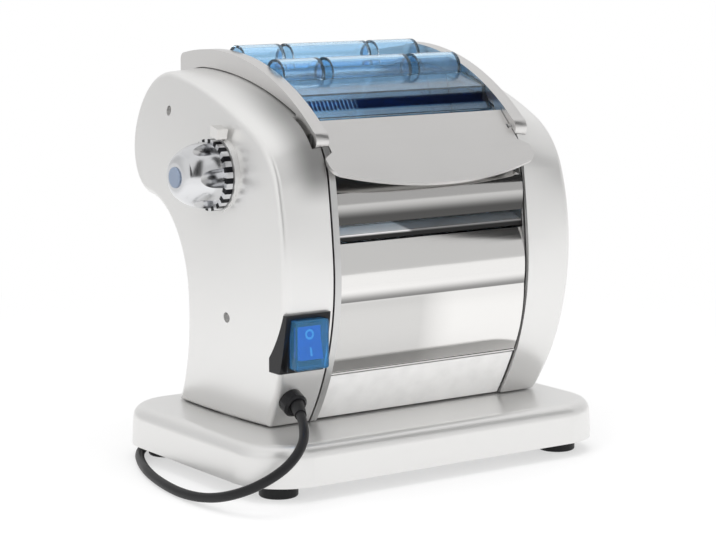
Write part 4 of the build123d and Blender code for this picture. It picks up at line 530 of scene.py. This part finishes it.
# %% Satin and ground steel
satin = new_material("satin_steel", Metallic=1.0)
place_group(satin, BRUSHED, Colour=(0.76, 0.75, 0.74, 1), Roughness=0.24, Roughness_Change=0.2,
            Line_Depth=0.10, Cloud_Depth=0.05)
dress(satin, "feed_chute", "left_hood_arm", "right_hood_arm", "front_scraper", "rear_scraper")
ground = new_material("ground_steel", Metallic=1.0)
place_group(ground, BRUSHED, Colour=(0.72, 0.72, 0.73, 1), Roughness=0.12, Roughness_Change=0.10,
            Line_Depth=0.04, Cloud_Depth=0.03)
dress(ground, "front_roller", "rear_roller", "front_sync_gear", "rear_sync_gear", "motor_shaft",
      "gear_axles", "adjuster_spindle")
print("satin and ground steel done")

# %% [markdown]
# Plates and screws are zinc plated, a duller grey with a spangle of small crystals.
# The spangle could be a Voronoi pattern, but at this size soft clouds look the same.
# The plate at the foot is passivated nearly white, so most of its light is diffuse.
# The bushes are sintered bronze.

# %% Zinc and bronze
zinc = new_material("zinc_plate", Metallic=1.0)
place_group(zinc, GRAIN, Colour=(0.66, 0.66, 0.655, 1), Roughness=0.34, Grain_Size=900.0,
            Grain_Depth=0.08, Cloud_Size=160.0, Cloud_Depth=0.12)
dress(zinc, "left_side_plate", "right_side_plate", "tie_rods", "base_screws",
      "foot_screws", "cover_screws", "chute_pivot_screws", "bearing_carriage", "gear_plate",
      "gear_plate_posts", "gear_plate_screws", "motor_screws", "motor_cradle", "knob_spring",
      "plug_pins")
pale_zinc = new_material("pale_zinc", Metallic=0.20)
place_group(pale_zinc, GRAIN, Colour=(0.95, 0.945, 0.935, 1), Roughness=0.42, Grain_Size=700.0,
            Grain_Depth=0.05, Cloud_Size=90.0, Cloud_Depth=0.22)
dress(pale_zinc, "lower_front_plate")
bronze = new_material("bronze", Metallic=1.0)
place_group(bronze, GRAIN, Colour=(0.60, 0.42, 0.22, 1), Roughness=0.38, Cloud_Depth=0.15)
dress(bronze, "roller_bushes", "carriage_bushes", "spindle_bush")
print("zinc and bronze done")

# %% [markdown]
# The arms are bent and ground, so no edge of them is sharp.  A bevel rounds every edge
# of the sawn profile by a little over two millimetres, and leaves the faces flat, which
# a subdivision wouldn't.  These meshes are loose triangles too, so a weld comes first.

# %% Rounded arms
ARM_ROUND = 0.0024
ARM_SEGMENTS = 4
SHARP_ANGLE = math.radians(50)
WELD_REACH = 0.00002

for name in ("left_hood_arm", "right_hood_arm"):
    weld = nodes[name].modifiers.new("join", "WELD")
    weld.merge_threshold = WELD_REACH
    bevel = nodes[name].modifiers.new("round", "BEVEL")
    bevel.width = ARM_ROUND
    bevel.segments = ARM_SEGMENTS
    bevel.limit_method = "ANGLE"
    bevel.angle_limit = SHARP_ANGLE
    bevel.harden_normals = True
print("arm edges rounded by", 1000 * ARM_ROUND, "mm")

# %% [markdown]
# The guard over the rollers is moulded in clear blue plastic.  Light passes through
# it and takes colour with every wall it crosses, so one wall is light blue and a pile
# of ridges is deep blue.  Full transmission with a pale blue does exactly that.  Low on
# its front web the guard is nearly black, with a comb of fine clear ribs at the left.
# Ribs this fine would cost many faces, so the comb is a sine along X, cut to a band.

# %% Guard
RIB_PITCH = 0.0032
RIB_EDGE = (-0.2, 0.5)
COMB_END = (-0.018, -0.026)
BAND_FOOT = (0.2435, 0.2445)
BAND_TOP = (0.2515, 0.2495)
FRONT_WEB = (-0.005, -0.015)
NAVY = (0.012, 0.03, 0.11, 1)

clear_blue = new_material("clear_blue", IOR=1.46, Transmission_Weight=0.96, Specular_IOR_Level=0.6)
wall_colour = place_group(clear_blue, GRAIN, Colour=(0.60, 0.80, 0.96, 1), Roughness=0.06,
                          Grain_Depth=0.0, Cloud_Size=25.0, Cloud_Depth=0.05)
tree = clear_blue.node_tree
x, y, z = object_axes(tree)
band = reckon(tree, "MULTIPLY", ramp(tree, z, *BAND_FOOT), ramp(tree, z, *BAND_TOP))
band = reckon(tree, "MULTIPLY", band, ramp(tree, y, *FRONT_WEB))
wave = reckon(tree, "SINE", reckon(tree, "MULTIPLY", x, 2 * math.pi / RIB_PITCH))
comb = reckon(tree, "MULTIPLY", ramp(tree, wave, *RIB_EDGE), ramp(tree, x, *COMB_END))
navy = reckon(tree, "MULTIPLY", band, reckon(tree, "SUBTRACT", 1.0, comb))
colour_with(clear_blue, mix_colours(tree, navy, wall_colour, NAVY))
dress(clear_blue, "safety_guard")
print("guard clear, with ribs every", 1000 * RIB_PITCH, "mm")

# %% [markdown]
# A soft blue cap keeps flour and water out of the switch.  It is thin, so it hardly
# bends the light: a low index keeps the rocker's marks readable through it.

# %% Splash cover
splash_blue = new_material("splash_blue", IOR=1.25, Transmission_Weight=0.86)
place_group(splash_blue, GRAIN, Colour=(0.20, 0.56, 0.90, 1), Roughness=0.10, Grain_Depth=0.0,
            Cloud_Size=60.0, Cloud_Depth=0.10)
dress(splash_blue, "switch_splash_cover")
print("splash cover done")

# %% [markdown]
# Black parts: rubber feet and cord are dull, while the switch frame, the gland and the
# plug are glossier mouldings.  Pure black would swallow every edge, so the blacks
# reflect about a hundredth of the light.  The rocker is blue and lies in the shade of
# its cover.

# %% Blacks
rubber = new_material("black_rubber", Specular_IOR_Level=0.3)
place_group(rubber, GRAIN, Colour=(0.010, 0.010, 0.011, 1), Roughness=0.48, Grain_Size=1400.0,
            Grain_Depth=0.25, Cloud_Depth=0.3)
dress(rubber, "base_feet", "strain_relief", "cord_lead", "cord_coil", "cord_tail")
cord_data.materials.append(rubber)
gloss_black = new_material("gloss_black", Specular_IOR_Level=0.22)
place_group(gloss_black, GRAIN, Colour=(0.012, 0.012, 0.013, 1), Roughness=0.22, Cloud_Depth=0.25)
dress(gloss_black, "switch_bezel", "switch_body", "cord_gland", "gland_lock_nut", "mains_plug")
rocker_blue = new_material("rocker_blue", Specular_IOR_Level=0.15)
place_group(rocker_blue, GRAIN, Colour=(0.05, 0.16, 0.62, 1), Roughness=0.4, Cloud_Depth=0.1)
dress(rocker_blue, "switch_rocker")
print("black and blue mouldings done")

# %% [markdown]
# The dial is satin chrome with a blue-grey cap, and its rim carries a ring of dark and
# bright marks, one pair for each step.  Forty little meshes would do it, but a mask on
# the angle round the dial's axis is one line of arithmetic and turns with the dial.

# %% Dial
DIAL_HEIGHT = 0.203
DIAL_FORWARD = 0.004
MARKS = 20
DIAL_COLOUR = (0.74, 0.745, 0.76, 1)
MARK_COLOUR = (0.015, 0.015, 0.018, 1)


def dial_marks(tree):
    """1 on a dark mark: the sine of MARKS times the angle round the axis is positive."""
    x, y, z = object_axes(tree)
    angle = reckon(tree, "ARCTAN2", reckon(tree, "SUBTRACT", z, DIAL_HEIGHT),
                   reckon(tree, "SUBTRACT", y, DIAL_FORWARD))
    wave = reckon(tree, "SINE", reckon(tree, "MULTIPLY", angle, MARKS))
    return reckon(tree, "GREATER_THAN", wave, 0.0)


dial_chrome = new_material("dial_chrome", Metallic=1.0)
place_group(dial_chrome, GRAIN, Colour=DIAL_COLOUR, Roughness=0.20, Grain_Depth=0.04,
            Cloud_Depth=0.04)
dress(dial_chrome, "thickness_knob")
cap_blue = new_material("cap_blue")
place_group(cap_blue, GRAIN, Colour=(0.22, 0.27, 0.36, 1), Roughness=0.35)
dress(cap_blue, "knob_cap")
dial_ring = new_material("dial_ring", Metallic=0.9, Roughness=0.28)
tree = dial_ring.node_tree
colour_with(dial_ring, mix_colours(tree, dial_marks(tree), DIAL_COLOUR, MARK_COLOUR))
dress(dial_ring, "knob_ring")
print("dial marks:", MARKS)

# %% [markdown]
# Inside the gear housing are moulded gears in pale nylon, a dark enamelled motor and
# its capacitor.  They hardly show, so each takes the shared grain and a plain tone.

# %% Inner parts
nylon = new_material("nylon")
place_group(nylon, GRAIN, Colour=(0.80, 0.78, 0.70, 1), Roughness=0.45)
dress(nylon, "roller_drive_gear", "upper_gear_cluster", "lower_gear_cluster")
enamel = new_material("motor_enamel", Specular_IOR_Level=0.5)
place_group(enamel, GRAIN, Colour=(0.03, 0.03, 0.035, 1), Roughness=0.35)
dress(enamel, "motor_body")
can_grey = new_material("capacitor_grey")
place_group(can_grey, GRAIN, Colour=(0.62, 0.62, 0.60, 1), Roughness=0.4)
dress(can_grey, "motor_capacitor")
print("inner finishes done")

# %% [markdown]
# The rocker carries the two usual marks: a ring for off at the top and a bar for on at
# the bottom.  Printed marks could be a mask in the material, but their edges would be
# soft.  Each is a grid of two parameters laid on the dished face of the rocker and
# raised by a hair, so that it follows the face and moves with it.

# %% Switch marks
PIVOT = np.array((-92.8, -66.0, 97.5))
TILT = math.radians(-9.0)
FACE_DEPTH = 7.3
FACE_DISH = 0.8
HALF_HEIGHT = 11.0
RAISE = 0.07
RING_HEIGHT = 5.6
RING_RADII = (2.0, 3.4)
RING_SIDES = 40
BAR_HALF_WIDTH = 0.75
BAR_ENDS = (-8.6, -2.9)
BAR_ROWS = 8


def on_rocker(x, z):
    """The point of the rocker's face at (x, z): a shallow circle's arc, turned by the tilt."""
    y = -FACE_DEPTH + FACE_DISH * (1 - (z / HALF_HEIGHT) ** 2) - RAISE
    turned_y = y * math.cos(TILT) - z * math.sin(TILT)
    turned_z = y * math.sin(TILT) + z * math.cos(TILT)
    return (np.stack((x, turned_y, turned_z), axis=-1) + PIVOT) / 1000


def grid_mesh(name, points, closed):
    """A mesh from a grid of points, with a quad between each four; closed joins the last
    row to the first."""
    rows, columns = points.shape[:2]
    index = np.arange(rows * columns).reshape(rows, columns)
    if closed:
        index = np.vstack((index, index[:1]))
    quads = np.stack((index[:-1, :-1], index[:-1, 1:], index[1:, 1:], index[1:, :-1]), axis=-1)
    mesh = bpy.data.meshes.new(name)
    mesh.from_pydata(points.reshape(-1, 3).tolist(), [], quads.reshape(-1, 4).tolist())
    return link_object(name, mesh)


around = np.linspace(0, 2 * np.pi, RING_SIDES, endpoint=False)[:, None]
ring_radius = np.array(RING_RADII)[None, :]
ring = on_rocker(ring_radius * np.cos(around), RING_HEIGHT + ring_radius * np.sin(around))
bar_x, bar_z = np.meshgrid(np.array((-BAR_HALF_WIDTH, BAR_HALF_WIDTH)),
                           np.linspace(*BAR_ENDS, BAR_ROWS))
mark_white = new_material("mark_white")
place_group(mark_white, GRAIN, Colour=(0.95, 0.96, 0.97, 1), Cloud_Depth=0.02)
for mark in (grid_mesh("off_mark", ring, True), grid_mesh("on_mark", on_rocker(bar_x, bar_z), False)):
    mark.data.materials.append(mark_white)
    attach(mark, "rocker")
print("marks on the rocker: off and on")

# %% [markdown]
# The foot of the front cover is rolled into a bead, which stiffens the sheet and hides
# the seam above the lower plate.  A primitive cylinder would need turning and placing.
# Here the bead is a grid of circles along the cover, already in its place, drawn to a
# point at both ends so that it is closed.

# %% Bead
BEAD_ENDS = (-65.2, 89.8)
BEAD_CENTRE = (-55.9, 72.0)
BEAD_RADIUS = 0.95
BEAD_SIDES = 16


def tube(name, x_ends, centre, radius):
    """A closed bead along X: (x, centre y + r cos turn, centre z + r sin turn), r zero at the ends."""
    turn = np.linspace(0, 2 * np.pi, BEAD_SIDES, endpoint=False)[:, None]
    x = np.repeat(x_ends, 2)[None, :] + 0 * turn
    r = np.array((0.0, radius, radius, 0.0))[None, :]
    points = np.stack((x, centre[0] + r * np.cos(turn), centre[1] + r * np.sin(turn)), axis=-1)
    made = grid_mesh(name, points / 1000, True)
    shape = bmesh.new()
    shape.from_mesh(made.data)
    bmesh.ops.remove_doubles(shape, verts=shape.verts, dist=SAME_PLACE)
    bmesh.ops.recalc_face_normals(shape, faces=shape.faces)
    shape.to_mesh(made.data)
    shape.free()
    return made


bead = tube("cover_bead", BEAD_ENDS, BEAD_CENTRE, BEAD_RADIUS)
bead.data.materials.append(chrome)
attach(bead, "frame_body")
print("bead along the front cover has", len(bead.data.polygons), "faces")

# %% [markdown]
# The studio is a pale floor under a white sky.  A white painted floor would need lamps
# so strong that the silver turns white with it.  Instead, camera, mirrors and clear
# plastic see a floor that glows white by itself, while the machine is lit more gently.
# Near the machine the floor is part glow and part paint, so that it keeps a shadow, and
# far behind it is a little greyer to mirrors.

# %% Floor
FLOOR_RADIUS = 60.0
FLOOR_SIDES = 96
FLOOR_COLOUR = (0.86, 0.86, 0.86, 1)
FLOOR_ROUGHNESS = 0.9
SHADOW_REACH = (0.34, 0.75)
WHITE_SHARE = 0.55
GREY_WAY = (-0.57, 0.82, 0.0)
GREY_REACH = (0.35, 1.4)
GREYER = 0.20


def disc_mesh(name, radius, sides):
    """A flat disc that faces up: points at (radius cos angle, radius sin angle, 0)."""
    angle = np.linspace(0, 2 * np.pi, sides, endpoint=False)
    rim = np.column_stack((radius * np.cos(angle), radius * np.sin(angle), np.zeros(sides)))
    mesh = bpy.data.meshes.new(name)
    mesh.from_pydata(rim.tolist(), [], [tuple(range(sides))])
    return link_object(name, mesh)


def measure_place(tree, operation, *vectors):
    """The length of the surface point, or its product with a direction."""
    node = add(tree, "ShaderNodeVectorMath", operation=operation)
    for term, slot in zip((object_place(tree), *vectors), node.inputs):
        feed(tree, term, slot)
    return node.outputs["Value"]


floor = disc_mesh("floor", FLOOR_RADIUS, FLOOR_SIDES)
floor_white = new_material("floor_white", Base_Color=FLOOR_COLOUR, Roughness=FLOOR_ROUGHNESS,
                           Specular_IOR_Level=0.0)
tree = floor_white.node_tree
rays = add(tree, "ShaderNodeLightPath").outputs
grey = reckon(tree, "MULTIPLY", rays["Is Glossy Ray"],
              ramp(tree, measure_place(tree, "DOT_PRODUCT", GREY_WAY), *GREY_REACH, 0.0, GREYER))
glow = add(tree, "ShaderNodeEmission")
feed(tree, reckon(tree, "SUBTRACT", 1.0, grey), glow.inputs["Strength"])
onlooker = reckon(tree, "MAXIMUM", rays["Is Glossy Ray"], rays["Is Transmission Ray"])
onlooker = reckon(tree, "MAXIMUM", rays["Is Camera Ray"], onlooker)
share = ramp(tree, measure_place(tree, "LENGTH"), *SHADOW_REACH, WHITE_SHARE, 1.0)
mix = add(tree, "ShaderNodeMixShader")
feed(tree, reckon(tree, "MULTIPLY", share, onlooker), mix.inputs["Fac"])
feed(tree, tree.nodes["Principled BSDF"].outputs[0], mix.inputs[1])
feed(tree, glow.outputs[0], mix.inputs[2])
feed(tree, mix.outputs[0], tree.nodes["Material Output"].inputs["Surface"])
floor.data.materials.append(floor_white)
print("floor laid,", FLOOR_RADIUS, "m round")

# %% [markdown]
# Polished sheet shows the room it stands in.  The sky is white for the camera and for
# what is seen through clear plastic.  Mirrors see a studio in greys: brightest at the
# left and overhead, duller in front, so that every fold of the covers shows.  A picture
# of a real studio would do this too; a few ramps are enough.  In a world, X, Y and Z are
# those of the direction in which a ray leaves.

# %% World
STUDIO_GREY = 0.8
LEFT_WALL = (0.2, -0.8)
LEFT_SHADES = (0.78, 1.0)
CEILING = (0.55, 0.8)
CEILING_GAIN = 0.24
BACK_WALL = (0.0, 0.7)
BACK_GAIN = 0.30
BACK_TURN = (-0.5, 0.3)
BACK_SHARES = (-0.6, 1.0)

world = bpy.data.worlds.new("studio")
bpy.context.scene.world = world
world.use_nodes = True
tree = world.node_tree
tree.nodes.clear()
x, y, z = object_axes(tree)
behind = reckon(tree, "MULTIPLY", ramp(tree, y, *BACK_WALL, 0.0, BACK_GAIN),
                ramp(tree, x, *BACK_TURN, *BACK_SHARES))
studio = reckon(tree, "ADD", ramp(tree, x, *LEFT_WALL, *LEFT_SHADES),
                ramp(tree, z, *CEILING, 0.0, CEILING_GAIN), use_clamp=True)
studio = reckon(tree, "ADD", studio, behind, use_clamp=True)
rays = add(tree, "ShaderNodeLightPath").outputs
open_sky = reckon(tree, "MAXIMUM", rays["Is Camera Ray"], rays["Is Transmission Ray"])
strength = add(tree, "ShaderNodeMix", data_type="FLOAT")
feed(tree, open_sky, strength.inputs["Factor"])
feed(tree, reckon(tree, "MULTIPLY", studio, STUDIO_GREY), strength.inputs["A"])
feed(tree, 1.0, strength.inputs["B"])
sky = add(tree, "ShaderNodeBackground")
feed(tree, (1, 1, 1, 1), sky.inputs["Color"])
feed(tree, strength.outputs["Result"], sky.inputs["Strength"])
feed(tree, sky.outputs[0], add(tree, "ShaderNodeOutputWorld").inputs["Surface"])
print("sky set")

# %% [markdown]
# Black flags stand round the table in a product studio: mirrors need something dark to
# reflect, or they look like white paper.  These are plain panels that only mirrors can
# see.  Each is given by the directions of its corners from the machine, because what
# counts is where a mirror sees it and not how large it is.

# %% Flags
FLAG_DISTANCE = 1.1
MACHINE_MIDDLE = np.array((0.0, -0.06, 0.17))
FLAG_COLOUR = (0.02, 0.02, 0.02, 1)
RIGHT_FLAG = [(16, 68), (52, 66), (62, 40), (58, 12), (43, 12), (39.5, 27), (20, 30)]
FRONT_FLAG = [(-56, 62), (-32, 62), (-32, 4), (-56, 4)]

flag_cloth = new_material("flag_cloth", Base_Color=FLAG_COLOUR, Roughness=1.0)


def flag(name, corners):
    """A flat panel from corners given as (angle to the right of the front, angle up) in
    degrees: middle + distance times (sin turn cos rise, -cos turn cos rise, sin rise)."""
    turn, rise = np.radians(np.array(corners)).T
    way = np.column_stack((np.sin(turn) * np.cos(rise), -np.cos(turn) * np.cos(rise), np.sin(rise)))
    mesh = bpy.data.meshes.new(name)
    mesh.from_pydata((MACHINE_MIDDLE + FLAG_DISTANCE * way).tolist(), [], [tuple(range(len(corners)))])
    mesh.materials.append(flag_cloth)
    made = link_object(name, mesh)
    made.visible_camera = False
    made.visible_diffuse = False
    made.visible_shadow = False
    made.visible_transmission = False


flag("right_flag", RIGHT_FLAG)
flag("front_flag", FRONT_FLAG)
print("flags up")

# %% [markdown]
# Three large lamps give the soft shadows on the table and light the plastics.  Small
# lamps would throw hard shadows.  Metal doesn't reflect them: it takes all its light
# from the studio round it.

# %% Lamps
AIM_HIGH = (0, 0, 0.15)
AIM_LOW = (0, 0, 0.10)


def soft_lamp(name, place, aim, width, height, power):
    data = bpy.data.lights.new(name, "AREA")
    data.shape = "RECTANGLE"
    data.size = width
    data.size_y = height
    data.energy = power
    lamp = link_object(name, data)
    lamp.location = place
    lamp.rotation_euler = (Vector(aim) - Vector(place)).to_track_quat("-Z", "Y").to_euler()
    lamp.visible_glossy = False


soft_lamp("top_lamp", (0.0, 0.1, 1.5), AIM_HIGH, width=1.6, height=1.2, power=12.0)
soft_lamp("left_lamp", (-1.5, -0.5, 0.9), AIM_HIGH, width=1.0, height=1.2, power=8.0)
soft_lamp("front_lamp", (0.5, -1.6, 0.6), AIM_LOW, width=1.2, height=0.8, power=10.0)
bpy.context.scene.view_settings.view_transform = "Standard"
print("lamps lit")
